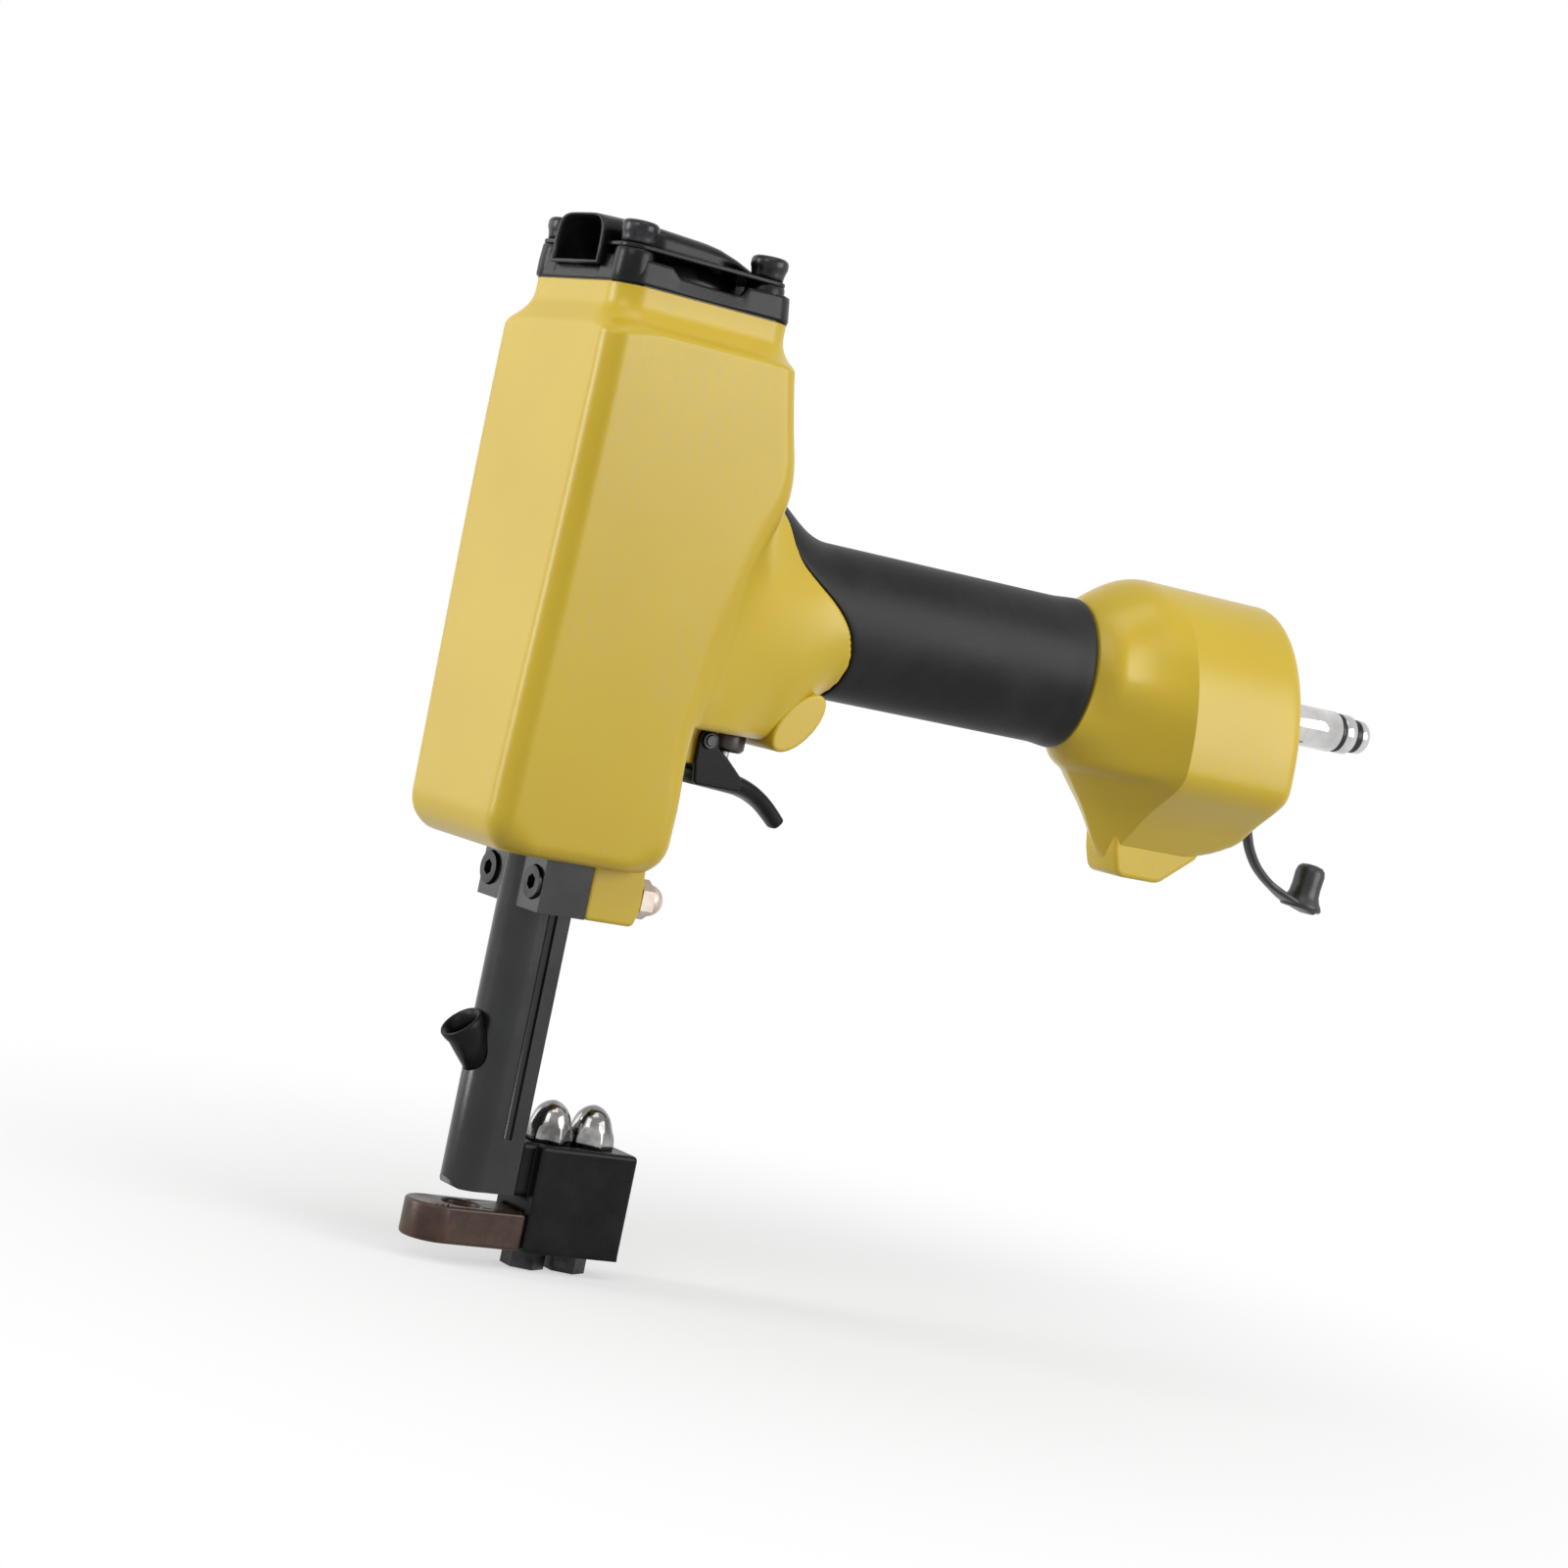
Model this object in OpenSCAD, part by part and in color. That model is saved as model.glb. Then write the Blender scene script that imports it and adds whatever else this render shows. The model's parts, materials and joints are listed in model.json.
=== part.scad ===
// Pneumatic single-shot nailer with a C-shaped foot.
// The origin is the mouth of the nose bore. +Z runs up the driver line and +X runs back along the handle.
// The tool is symmetric about the plane Y = 0.

/* [Driver line] */
// Radius of the nail channel, from the nose mouth up
nail_bore_r = 4.25; // [4:0.05:4.6]
// Length of the nail channel
nail_bore_len = 60; // [50:1:66]
// Radius of the bore above it, which guides the driver
drive_bore_r = 3.8; // [3.2:0.05:3.8]
// Running clearance of each shaft in its bore, on the radius
run_gap = 0.05; // [0.02:0.01:0.1]
// Gap between the piston at rest and the head valve above it
piston_gap = 11.9; // [8:0.1:20]
// How far the driver passes the nose at the end of its stroke
driver_proud = 1; // [0:0.5:3]
// Inner radius of the cylinder sleeve
sleeve_bore_r = 17; // [15:0.5:17.5]
// Wall of the cylinder sleeve
sleeve_wall = 2; // [1.5:0.5:2.5]
// Height of the piston
piston_h = 13; // [11:1:15]
// Height of the rubber bumper
bumper_h = 15; // [12:1:16]

/* [Nose] */
// Distance from the nose mouth up to the underside of the body
nose_len = 97.3; // [92:0.1:102]
// Radius of the round front of the nose bar
nose_r = 7.4; // [7:0.1:8.2]
// Rear face of the nose bar, behind the driver line
nose_back = 12.4; // [11:0.1:13.4]
// Height of the nose flange
flange_h = 15.6; // [14:0.1:17]
// Half of the width of the nose flange
flange_half = 18; // [17:0.5:19]
// Front face of the flange, ahead of the driver line
flange_front = 5.2; // [4.8:0.1:6]
// Rear face of the flange, where the body's lug begins
flange_back = 10.2; // [9:0.1:11]
// Length of the lug on the body behind the flange
lug_len = 17.4; // [15:0.1:19]
// Half of the distance between the two nose screws
nose_screw_y = 13; // [12.5:0.1:13.2]
// Height of the domed nuts on the nose screws
nose_nut_h = 9; // [8:0.5:10]
// Radius of the nose screws
nose_screw_r = 2.5; // [2:0.1:3]
// Outer radius of the nail spout
spout_r = 5.8; // [5.2:0.1:6.2]
// Bore of the nail spout
spout_bore_r = 3.4; // [3:0.1:3.8]
// Angle of the spout from the vertical
spout_tilt = 43; // [38:1:48]
// Height at which the spout's axis meets the driver line
spout_z = 33.6; // [30:0.1:38]
// Distance from the driver line to the spout's mouth, along its axis
spout_len = 20; // [18:0.5:22]

/* [Foot] */
// Gap between the nose mouth and the foot plate
throat = 4.7; // [4.5:0.1:8]
// Thickness of the foot plate
plate_t = 10.7; // [8:0.1:12]
// Half of the width of the foot plate
plate_half = 9; // [8:0.1:9.5]
// Round front end of the plate, ahead of the driver line
plate_front = 16.8; // [15:0.1:20]
// Radius of the hole in the plate under the nose
plate_hole_r = 5.5; // [5:0.1:6]
// Front face of the foot block, behind the driver line
block_front = 17; // [16:0.5:19]
// Length of the foot block
block_len = 32; // [30:0.5:36]
// Half of the width of the foot block
block_half = 10.2; // [10:0.1:12]
// Height of the block above the nose mouth
block_rise = 15.7; // [14:0.1:18]
// Radius of the two foot bolts
foot_bolt_r = 3; // [2.5:0.1:3.2]
// Height of the domed nuts on the foot bolts
foot_nut_h = 12.3; // [11:0.1:13]
// Distance from the block's front face to the first bolt
foot_bolt_in = 6.6; // [6.4:0.1:8]
// Distance between the two foot bolts
foot_bolt_gap = 13.7; // [12.8:0.1:15]

/* [Body] */
// Height of the body from its underside to its shoulder
body_h = 147.4; // [144:0.1:152]
// Front face of the body, ahead of the driver line
body_front = 29.3; // [28.5:0.1:31]
// Rear face of the body at its foot, behind the driver line
body_back = 29.3; // [28.5:0.1:31]
// Half of the body's width at its underside
body_half_low = 27.8; // [27.2:0.1:30]
// Half of the body's width at its shoulder
body_half_top = 33; // [32:0.1:35]
// Radius of the air chamber round the sleeve
chamber_r = 21.8; // [21.4:0.1:22.2]
// Thickness of the chamber floor
floor_t = 5.7; // [5:0.1:7]
// Height of the neck above the shoulder
neck_h = 11.5; // [10:0.1:13]
// Half of the length of the neck and cap
cap_half_x = 28.8; // [28:0.1:30]
// Half of the width of the neck and cap
cap_half_y = 27.5; // [27:0.1:29]
// Distance of the cap's centre behind the driver line
cap_x = 4.6; // [3.5:0.1:5]
// Corner radius of the neck and cap
cap_corner_r = 7; // [5:0.5:8]

/* [Cap] */
// Thickness of the cap gasket
gasket_t = 0.5; // [0.3:0.1:1]
// Thickness of the cap's base slab
cap_slab = 3.8; // [3:0.1:5]
// Height of the cap's side walls above its seat
cap_wall_h = 7.2; // [6.5:0.1:8]
// Height of the corner posts above the cap's seat
post_h = 9.5; // [9:0.1:11]
// Distance of the cap screws' centre behind the driver line
cap_screw_x = 2.9; // [2.4:0.1:3.4]
// Half of the spacing of the cap screws along the handle
cap_screw_dx = 21.4; // [21:0.1:21.8]
// Half of the spacing of the cap screws across the handle
cap_screw_dy = 21; // [20.6:0.1:21.6]
// Radius of the cap's corner posts
post_r = 5.9; // [5.5:0.1:6.2]
// Radius of the cap screws
cap_screw_r = 2.5; // [2:0.1:2.5]
// Height of the cap screw heads
cap_head_h = 6.6; // [6:0.1:8]
// Thickness of the deflector's plate
deflector_t = 1.2; // [1:0.1:2]
// Height of the deflector's hood above its plate
hood_h = 5.8; // [5.5:0.1:8]
// Half of the width of the front exhaust window
window_half = 11.5; // [10:0.5:12]
// Lift of the head valve
head_lift = 4.5; // [3:0.5:5]

/* [Handle] */
// Height of the handle's axis above the nose mouth
handle_z = 178; // [174:0.5:182]
// Half of the grip's width
grip_a = 16; // [15:0.5:17]
// Half of the grip's height
grip_b = 22.5; // [21.5:0.5:23.5]
// Thickness of the rubber grip
grip_wall = 3.5; // [3:0.1:4]
// Rear end of the grip
grip_end = 169.5; // [165:0.5:173]
// Radius of the air passage in the handle
passage_r = 9; // [7:0.5:9.5]

/* [Tank] */
// Front plane of the tank's straight part
tank_x0 = 199; // [196:0.5:202]
// Rear face of the tank
tank_x1 = 243; // [240:0.5:248]
// Half of the tank's width
tank_half = 33; // [31:0.5:35]
// Top of the tank above the handle's axis
tank_rise = 33.3; // [32:0.1:35]
// Wall of the tank
tank_wall = 5; // [4:0.5:5.5]
// Depth of the foot under the tank
tank_foot = 9; // [7:0.5:11]
// Radius of the rear cover
cover_r = 21; // [20:0.5:22]
// Thickness of the rear cover
cover_t = 4; // [3:0.5:5]
// Radius of the inlet boss on the cover
boss_r = 9; // [9:0.1:9.6]

/* [Air plug] */
// Radius of the plug's body
plug_r = 6.5; // [6:0.1:7]
// Length of the plug behind its hexagon
plug_len = 38; // [32:0.5:42]
// Size of the plug's hexagon across its flats
plug_af = 17; // [15:0.5:17]
// Bore of the plug
plug_bore_r = 3.2; // [2.5:0.1:3.6]

/* [Trigger] */
// Distance of the trigger pin behind the driver line
pin_x = 45.5; // [44.5:0.1:45.8]
// Radius of the trigger pin
pin_r = 1.5; // [1.2:0.1:1.7]
// Half of the trigger's width
trigger_half = 7.2; // [7:0.1:8]
// Distance of the valve's axis behind the driver line
valve_x = 55.2; // [55:0.1:55.6]
// Radius of the valve body below the handle
valve_r = 5.7; // [5.2:0.1:5.8]
// Travel of the valve stem
stem_travel = 3.3; // [3:0.1:3.6]
// Angle through which the trigger pulls
trigger_pull = 16; // [12:1:16]

/* [Hidden] */
$fn = 64;

// Heights on the driver line
floor_z = nose_len + floor_t;
bumper_z = floor_z;
piston_low_z = bumper_z + bumper_h + 0.3;
body_top = nose_len + body_h;
neck_top = body_top + neck_h;
cap_z = neck_top + gasket_t;
slab_z = cap_z + cap_slab;
post_z = cap_z + post_h;
plate_z = post_z + deflector_t;

// Sleeve and head valve
sleeve_r = sleeve_bore_r + sleeve_wall;
seal_gap = 0.3;
valve_disc_t = 4.5;
valve_disc_r = chamber_r - 0.9;
skirt_r = 14;
skirt_wall = 3;
skirt_z = cap_z - 9.5;
disc_z = skirt_z - head_lift - 1 - valve_disc_t;
seal_t = 1.8;
sleeve_top = disc_z - seal_gap;
piston_z = disc_z - piston_gap - piston_h;
stroke = piston_z - piston_low_z;
driver_z = stroke - driver_proud;
hub_top = cap_z - head_lift - 0.6;
vent_r = 6;
spring_r = 11.4;
collar_z = floor_z + 0.42 * (sleeve_top - floor_z);
collar_t = 6;
ring_r = 1;

// Small ring of round section, lying flat
module oring(r_out, section) {
    rotate_extrude() translate([r_out - section, 0]) circle(r = section, $fn = 24);
}

// Groove that holds such a ring on a shaft of radius shaft_r
module groove(shaft_r, section) {
    difference() {
        cylinder(r = shaft_r + 1, h = 2.2 * section, center = true);
        cylinder(r = shaft_r - 2 * section, h = 3 * section, center = true);
    }
}

// Rectangle with round corners, built from exact circles and squares
module round_rect(half_x, half_y, corner) {
    square([2 * half_x, 2 * (half_y - corner)], center = true);
    square([2 * (half_x - corner), 2 * half_y], center = true);
    for (sx = [-1, 1], sy = [-1, 1])
        translate([sx * (half_x - corner), sy * (half_y - corner)]) circle(r = corner);
}

// Outline of the neck and cap, drawn in by a distance
module cap_outline(inset) {
    translate([cap_x, 0]) round_rect(cap_half_x - inset, cap_half_y - inset, cap_corner_r - inset);
}

// Turns an outline drawn in Y and Z, and pushes it along +X by a length
module along_x(x, length) {
    translate([x, 0, 0]) rotate([90, 0, 90]) linear_extrude(height = length) children();
}

// Turns an outline drawn in X and Z, and pushes it both ways along Y to a width
module across_y(width) {
    rotate([90, 0, 0]) linear_extrude(height = width, center = true) children();
}

// Points of an ellipse about (0, z)
function ellipse_points(a, b, z, n = 48) = [for (i = [0:n - 1]) [a * cos(360 * i / n), z + b * sin(360 * i / n)]];

// Hexagonal prism, measured across its flats
module hex(across_flats, height) {
    cylinder(r = across_flats / sqrt(3), h = height, $fn = 6);
}

// Domed nut standing on z = 0, bored for its screw
module acorn_nut(across_flats, hex_h, total_h, screw_r) {
    dome_r = across_flats * 0.46;
    difference() {
        union() {
            hex(across_flats, hex_h);
            cylinder(r = dome_r, h = total_h - dome_r);
            translate([0, 0, total_h - dome_r]) sphere(r = dome_r);
        }
        translate([0, 0, -dome_r]) cylinder(r = screw_r, h = 0.65 * total_h + dome_r);
    }
}

// Places of the four cap screws
module at_cap_screws() {
    for (sx = [-1, 1], sy = [-1, 1]) 
        translate([cap_screw_x + sx * cap_screw_dx, sy * cap_screw_dy, 0]) children();
}

// Places of the two nose screws, with +Z of each child turned to run back along +X
nose_screw_z = nose_len - flange_h / 2 + 0.2;
module at_nose_screws(x) {
    for (sy = [-1, 1]) translate([x, sy * nose_screw_y, nose_screw_z]) rotate([0, 90, 0]) children();
}

// Body

shoulder_rise = 5.8;
// Underside of the handle root
root_low = handle_z - 37.7;
body_side_points = [
    [-body_front, nose_len + 3], [-body_front + 3, nose_len], [body_back - 9, nose_len],
    [body_back - 3, nose_len + 4], [body_back, nose_len + 12], [body_back, handle_z - 50],
    [body_back + 1.5, handle_z - 37], [body_back + 3.6, handle_z - 15], [body_back + 9.4, handle_z + 12],
    [body_back + 12.6, handle_z + 25], [body_back + 10.2, handle_z + 44], [body_back + 7.7, handle_z + 54],
    [body_back + 6.2, body_top - 6], [body_back + 1.7, body_top], [-body_front + 1.3, body_top]];
body_front_points = [
    [-body_half_low + 3, nose_len - 1], [body_half_low - 3, nose_len - 1], [body_half_low, nose_len + 3],
    [body_half_top, body_top], [-body_half_top, body_top], [-body_half_low, nose_len + 3]];

// Outline of the grip's front end in X and Z: the casting lies ahead of it
grip_edge = [for (p = [[51.7, 26.7], [58.8, 15.8], [65.9, 10.8], [74.3, 4.9], [79.7, -1.1], [83, -10.1],
    [81.7, -16.2], [78.1, -22.6]]) [p[0], handle_z + p[1]]];
ahead_of_grip = concat(grip_edge, [[90, handle_z - 22.6], [90, root_low - 3], [20, root_low - 3],
    [20, handle_z + 26.7]]);

// Tank section in Y and Z: a half ellipse over a sharp edge, closed by a keel
tank_edge_z = handle_z - 25.5;
keel_half = 8;
keel_z = handle_z - 48.5;
function tank_points(inset) = concat(
    [for (i = [0:24]) [(tank_half - inset) * cos(7.5 * i),
        handle_z - 18 + (tank_rise + 18 - inset) * sin(7.5 * i)]],
    [for (p = [[-1, 0], [-0.95, 6.5], [-0.79, 13.5], [-0.52, 20]])
        [p[0] * (tank_half - inset), tank_edge_z - p[1] + inset]],
    [[-keel_half, keel_z + inset], [keel_half, keel_z + inset]],
    [for (p = [[0.52, 20], [0.79, 13.5], [0.95, 6.5], [1, 0]])
        [p[0] * (tank_half - inset), tank_edge_z - p[1] + inset]]);
tank_side_points = [
    [tank_x0 - 1, handle_z + 40], [tank_x1 - 6, handle_z + 40], [tank_x1, handle_z + tank_rise - 4],
    [tank_x1, handle_z - 40], [tank_x1 - 8, handle_z - 46], [tank_x1 - 18, keel_z - 0.5],
    [tank_x0 - 1, keel_z - 0.5]];
tank_foot_points = [
    [tank_x0 - 1.4, keel_z + 4], [tank_x0 - 1.4, keel_z - 5], [tank_x0 + 2, keel_z - tank_foot],
    [tank_x0 + 18, keel_z - tank_foot], [tank_x0 + 30, keel_z + 0.2], [tank_x0 + 30, keel_z + 4]];
bulb_x = grip_end + 11;

// The handle root, the lug of the trigger pin and the finger stop
root_end = 62;
pin_z = root_low - 2.8;
lug_half = 5;
stop_r = 9.5;
stop_x = 69;

module body_shell() {
    intersection() {
        across_y(2 * body_half_top + 2) polygon(body_side_points);
        along_x(-body_front - 1, body_front + body_back + 15) polygon(body_front_points);
    }
    hull() {
        translate([(body_back - body_front) / 2 + 1.5, 0, body_top - 0.5]) linear_extrude(height = 0.5)
            round_rect((body_front + body_back) / 2 - 0.3, body_half_top - 3, 4, $fn = 32);
        translate([0, 0, body_top + shoulder_rise]) linear_extrude(height = 0.5) cap_outline(0, $fn = 32);
    }
    translate([0, 0, body_top]) linear_extrude(height = neck_h) cap_outline(0);
    translate([flange_back, -flange_half, nose_len - flange_h])
        cube([lug_len, 2 * flange_half, flange_h + 1]);
}

module handle_root() {
    intersection() {
        union() {
            hull() {
                translate([body_back, -24, root_low]) cube([1, 48, handle_z + 24 - root_low]);
                translate([root_end - 2, -12, root_low]) cube([2, 24, 9]);
                along_x(root_end - 1, 1) polygon(ellipse_points(grip_a, grip_b, handle_z, 32));
            }
            along_x(root_end - 2, 30) polygon(ellipse_points(grip_a, grip_b, handle_z));
            translate([stop_x, 0, root_low + stop_r - 1.5]) rotate([90, 0, 0])
                cylinder(r = stop_r, h = 24, center = true);
        }
        across_y(60) polygon(ahead_of_grip);
    }
    along_x(root_end - 2, bulb_x - root_end) polygon(ellipse_points(grip_a - grip_wall, grip_b - grip_wall, handle_z));
    translate([pin_x - 4, -lug_half, pin_z - 3.4]) cube([7.4, 2 * lug_half, 8]);
}

module tank_shell() {
    hull() {
        along_x(grip_end + 0.1, 0.5) polygon(ellipse_points(grip_a, grip_b, handle_z, 32));
        along_x(bulb_x - 0.5, 0.5) polygon(ellipse_points(0.69 * tank_half, grip_b + 7, handle_z - 0.5, 32));
        along_x(tank_x0 - 0.5, 0.5) polygon(tank_points(0));
    }
    intersection() {
        along_x(tank_x0 - 0.5, tank_x1 - tank_x0 + 0.5) polygon(tank_points(0));
        across_y(2 * tank_half + 2) polygon(tank_side_points);
    }
    across_y(2 * keel_half) polygon(tank_foot_points);
}

valve_low = root_low - 5.2;
valve_bore_r = 5;
valve_top = root_low + 20;
seat_x = tank_x1 - cover_t;
cover_screw_pcr = cover_r - 4;
cover_screw_r = 1.8;

module housing() {
    color("#c9a93a") difference() {
        union() {
            body_shell();
            handle_root();
            tank_shell();
        }
        translate([0, 0, floor_z]) cylinder(r = chamber_r, h = neck_top - floor_z + 1);
        translate([0, 0, nose_len - 1]) cylinder(r = spigot_r + run_gap, h = floor_t + 2);
        along_x(chamber_r - 6, tank_x0 - chamber_r + 12) translate([0, handle_z]) circle(r = passage_r);
        along_x(tank_x0 + 1, seat_x - cover_gasket_t - tank_x0 - 5) polygon(tank_points(tank_wall));
        along_x(tank_x0 + 1, tank_x1 - tank_x0) translate([0, handle_z]) circle(r = cover_r - 8);
        along_x(seat_x - cover_gasket_t, cover_t + cover_gasket_t + 1) translate([0, handle_z])
            circle(r = cover_r + 0.2);
        at_cover_screws(seat_x - 8) cylinder(r = cover_screw_r, h = 10);
        translate([valve_x, 0, root_low - 1]) cylinder(r = valve_bore_r, h = handle_z - root_low);
        translate([pin_x, 0, pin_z]) rotate([90, 0, 0]) cylinder(r = pin_r, h = 4 * lug_half, center = true);
        at_cap_screws() translate([0, 0, neck_top - 22]) cylinder(r = cap_screw_r, h = 23);
        at_nose_screws(flange_back - 1) cylinder(r = nose_screw_r, h = lug_len + 2);
    }
}

// Cap, deflector and their screws

window_low = 3.4;
scallop = [[-13, 0.3], [-10.5, -2.9], [9.5, -2.9], [12.3, 0.3], [12.3, 2], [-13, 2]];

module cylinder_cap() {
    color("#2b2c2e") difference() {
        union() {
            translate([0, 0, cap_z]) linear_extrude(height = cap_slab) cap_outline(0);
            translate([0, 0, slab_z - 0.1]) linear_extrude(height = cap_wall_h - cap_slab + 0.1) difference() {
                cap_outline(0);
                cap_outline(2.6);
            }
            at_cap_screws() translate([0, 0, cap_z]) cylinder(r = post_r, h = post_h);
            translate([0, 0, skirt_z]) cylinder(r = skirt_r + skirt_wall, h = cap_z - skirt_z + 0.5);
        }
        translate([0, 0, skirt_z - 1]) cylinder(r = skirt_r, h = cap_z - skirt_z + 1);
        translate([0, 0, cap_z - 1]) cylinder(r = vent_r, h = cap_slab + 2);
        at_cap_screws() translate([0, 0, cap_z - 1]) cylinder(r = cap_screw_r + 0.3, h = post_h + 2);
        translate([cap_x - cap_half_x - 1, -window_half, cap_z + window_low]) cube([4, 2 * window_half, 10]);
        translate([cap_x, 0, cap_z + cap_wall_h]) across_y(2 * cap_half_y + 2) polygon(scallop);
    }
}

hood_back = 24;
module hood_solid(inset) {
    hull() {
        translate([cap_x - cap_half_x + 1 + inset / 2, -window_half - 3.5 + inset, plate_z - 0.5])
            cube([2, 2 * (window_half + 3.5 - inset), hood_h + 0.5 - inset]);
        translate([cap_x - 2, -window_half - 4 + inset, plate_z - 0.5])
            cube([14, 2 * (window_half + 4 - inset), hood_h + 1 - inset]);
        translate([cap_x + hood_back - inset, -window_half + inset, plate_z - 0.5])
            cube([1, 2 * (window_half - inset), 1]);
    }
}

module exhaust_deflector() {
    color("#232426") difference() {
        union() {
            translate([cap_screw_x, 0, post_z]) linear_extrude(height = deflector_t)
                round_rect(cap_screw_dx + post_r - 0.6, cap_screw_dy + post_r - 0.6, post_r - 0.6);
            hood_solid(0);
        }
        hood_solid(1.8);
        translate([cap_x - cap_half_x - 1, -window_half, post_z - 1])
            cube([14, 2 * window_half, deflector_t + 1 + hood_h - 2]);
        translate([cap_x - cap_half_x + 8, -window_half, post_z - 1])
            cube([cap_half_x + 8, 2 * window_half, deflector_t + 2]);
        at_cap_screws() translate([0, 0, post_z - 1]) cylinder(r = cap_screw_r + 0.3, h = deflector_t + 12);
    }
}

module cap_screws() {
    color("#3a3a3c") at_cap_screws() difference() {
        union() {
            translate([0, 0, neck_top - 20]) cylinder(r = cap_screw_r, h = plate_z - neck_top + 20.5);
            translate([0, 0, plate_z]) cylinder(r = 2.1 * cap_screw_r, h = cap_head_h - 1.2);
            translate([0, 0, plate_z + cap_head_h - 1.2])
                cylinder(r1 = 2.1 * cap_screw_r, r2 = 2.1 * cap_screw_r - 1, h = 1.2);
        }
        translate([0, 0, plate_z + cap_head_h / 2]) hex(4, cap_head_h);
    }
}

module cap_gasket() {
    color("#1c1c1c") difference() {
        translate([0, 0, neck_top]) linear_extrude(height = gasket_t) cap_outline(0.4);
        translate([0, 0, neck_top - 1]) cylinder(r = chamber_r, h = gasket_t + 2);
        at_cap_screws() translate([0, 0, neck_top - 1]) cylinder(r = cap_screw_r + 0.3, h = gasket_t + 2);
    }
}

// Head valve

module head_valve() {
    color("silver") difference() {
        union() {
            translate([0, 0, disc_z]) cylinder(r = valve_disc_r, h = valve_disc_t);
            translate([0, 0, disc_z]) cylinder(r = skirt_r - run_gap, h = hub_top - disc_z);
        }
        translate([0, 0, disc_z - 1]) cylinder(r = vent_r, h = hub_top - disc_z + 2);
        translate([0, 0, disc_z + valve_disc_t]) cylinder(r = spring_r + 0.5, h = hub_top - disc_z);
        translate([0, 0, disc_z - 0.1]) difference() {
            cylinder(r = sleeve_r + 0.8, h = seal_t + 0.1);
            translate([0, 0, -0.1]) cylinder(r = sleeve_bore_r - 1, h = seal_t + 1);
        }
        translate([0, 0, hub_top - 2.2]) groove(skirt_r - run_gap, ring_r * 0.5);
    }
}

module head_valve_seal() {
    color("#1c1c1c") translate([0, 0, disc_z]) difference() {
        cylinder(r = sleeve_r + 0.8, h = seal_t);
        translate([0, 0, -1]) cylinder(r = sleeve_bore_r - 1, h = seal_t + 2);
    }
}

module head_valve_oring() {
    color("#1c1c1c") translate([0, 0, hub_top - 2.2]) oring(skirt_r - run_gap, ring_r * 0.5);
}

module head_valve_spring() {
    color("silver") translate([0, 0, disc_z + valve_disc_t + 0.1]) difference() {
        cylinder(r = spring_r, h = cap_z - disc_z - valve_disc_t - 0.2);
        translate([0, 0, -1]) cylinder(r = spring_r - 1.6, h = cap_z - disc_z);
    }
}

// Sleeve, piston and driver

module cylinder_sleeve() {
    color("silver") difference() {
        union() {
            translate([0, 0, floor_z]) cylinder(r = sleeve_r, h = sleeve_top - floor_z);
            translate([0, 0, floor_z]) cylinder(r = chamber_r - 0.1, h = 4);
            translate([0, 0, collar_z]) cylinder(r = chamber_r - 0.1, h = collar_t);
        }
        translate([0, 0, floor_z - 1]) cylinder(r = sleeve_bore_r, h = sleeve_top - floor_z + 2);
        translate([0, 0, collar_z + collar_t / 2]) groove(chamber_r - 0.1, ring_r);
        translate([0, 0, floor_z + 2]) groove(chamber_r - 0.1, ring_r * 0.8);
        for (i = [0:5]) rotate([0, 90, 60 * i]) translate([-bumper_z - bumper_h - 6, 0, sleeve_bore_r - 2])
            cylinder(r = 1.2, h = 6);
    }
}

module sleeve_orings() {
    color("#1c1c1c") {
        translate([0, 0, collar_z + collar_t / 2]) oring(chamber_r - 0.05, ring_r);
        translate([0, 0, floor_z + 2]) oring(chamber_r - 0.05, ring_r * 0.8);
    }
}

rod_r = drive_bore_r - run_gap;
piston_r = sleeve_bore_r - run_gap;

module piston() {
    color("silver") translate([0, 0, piston_z]) difference() {
        cylinder(r = piston_r, h = piston_h);
        translate([0, 0, -1]) cylinder(r = rod_r, h = piston_h + 2);
        translate([0, 0, piston_h / 2]) groove(piston_r, ring_r);
        translate([0, 0, piston_h - 4]) cylinder(r = 11, h = 5);
    }
}

module piston_ring() {
    color("#1c1c1c") translate([0, 0, piston_z + piston_h / 2]) oring(piston_r + run_gap / 2, ring_r);
}

module driver_rod() {
    color("#8d9094") {
        translate([0, 0, driver_z + 1]) cylinder(r = rod_r, h = piston_z + piston_h - 0.8 - driver_z - 1);
        translate([0, 0, driver_z]) cylinder(r1 = rod_r - 0.8, r2 = rod_r, h = 1);
    }
}

module driver_nut() {
    color("#6f7275") translate([0, 0, piston_z + piston_h - 4]) difference() {
        hex(13, 3.6);
        translate([0, 0, -1]) cylinder(r = rod_r, h = 6);
    }
}

module bumper() {
    color("#2a2320") translate([0, 0, bumper_z]) difference() {
        cylinder(r = sleeve_bore_r - 0.2, h = bumper_h);
        translate([0, 0, -1]) cylinder(r = rod_r + 1.8, h = bumper_h + 2);
        translate([0, 0, bumper_h - 4]) cylinder(r1 = rod_r + 1.8, r2 = rod_r + 6, h = 4.1);
    }
}

// Nose

spigot_r = 9;
head_pocket = 4;
// Places a piece on the spout's axis, with +Z outwards
module along_spout() {
    translate([0, 0, spout_z]) rotate([0, -spout_tilt, 0]) children();
}

// Keeps what lies ahead of the nail channel's front wall
spout_skin = 0.9;
module ahead_of_nail() {
    difference() {
        children();
        cylinder(r = nail_bore_r + spout_skin, h = nose_len);
        translate([0, -nose_len / 2, -1]) cube(nose_len);
    }
}

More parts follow.
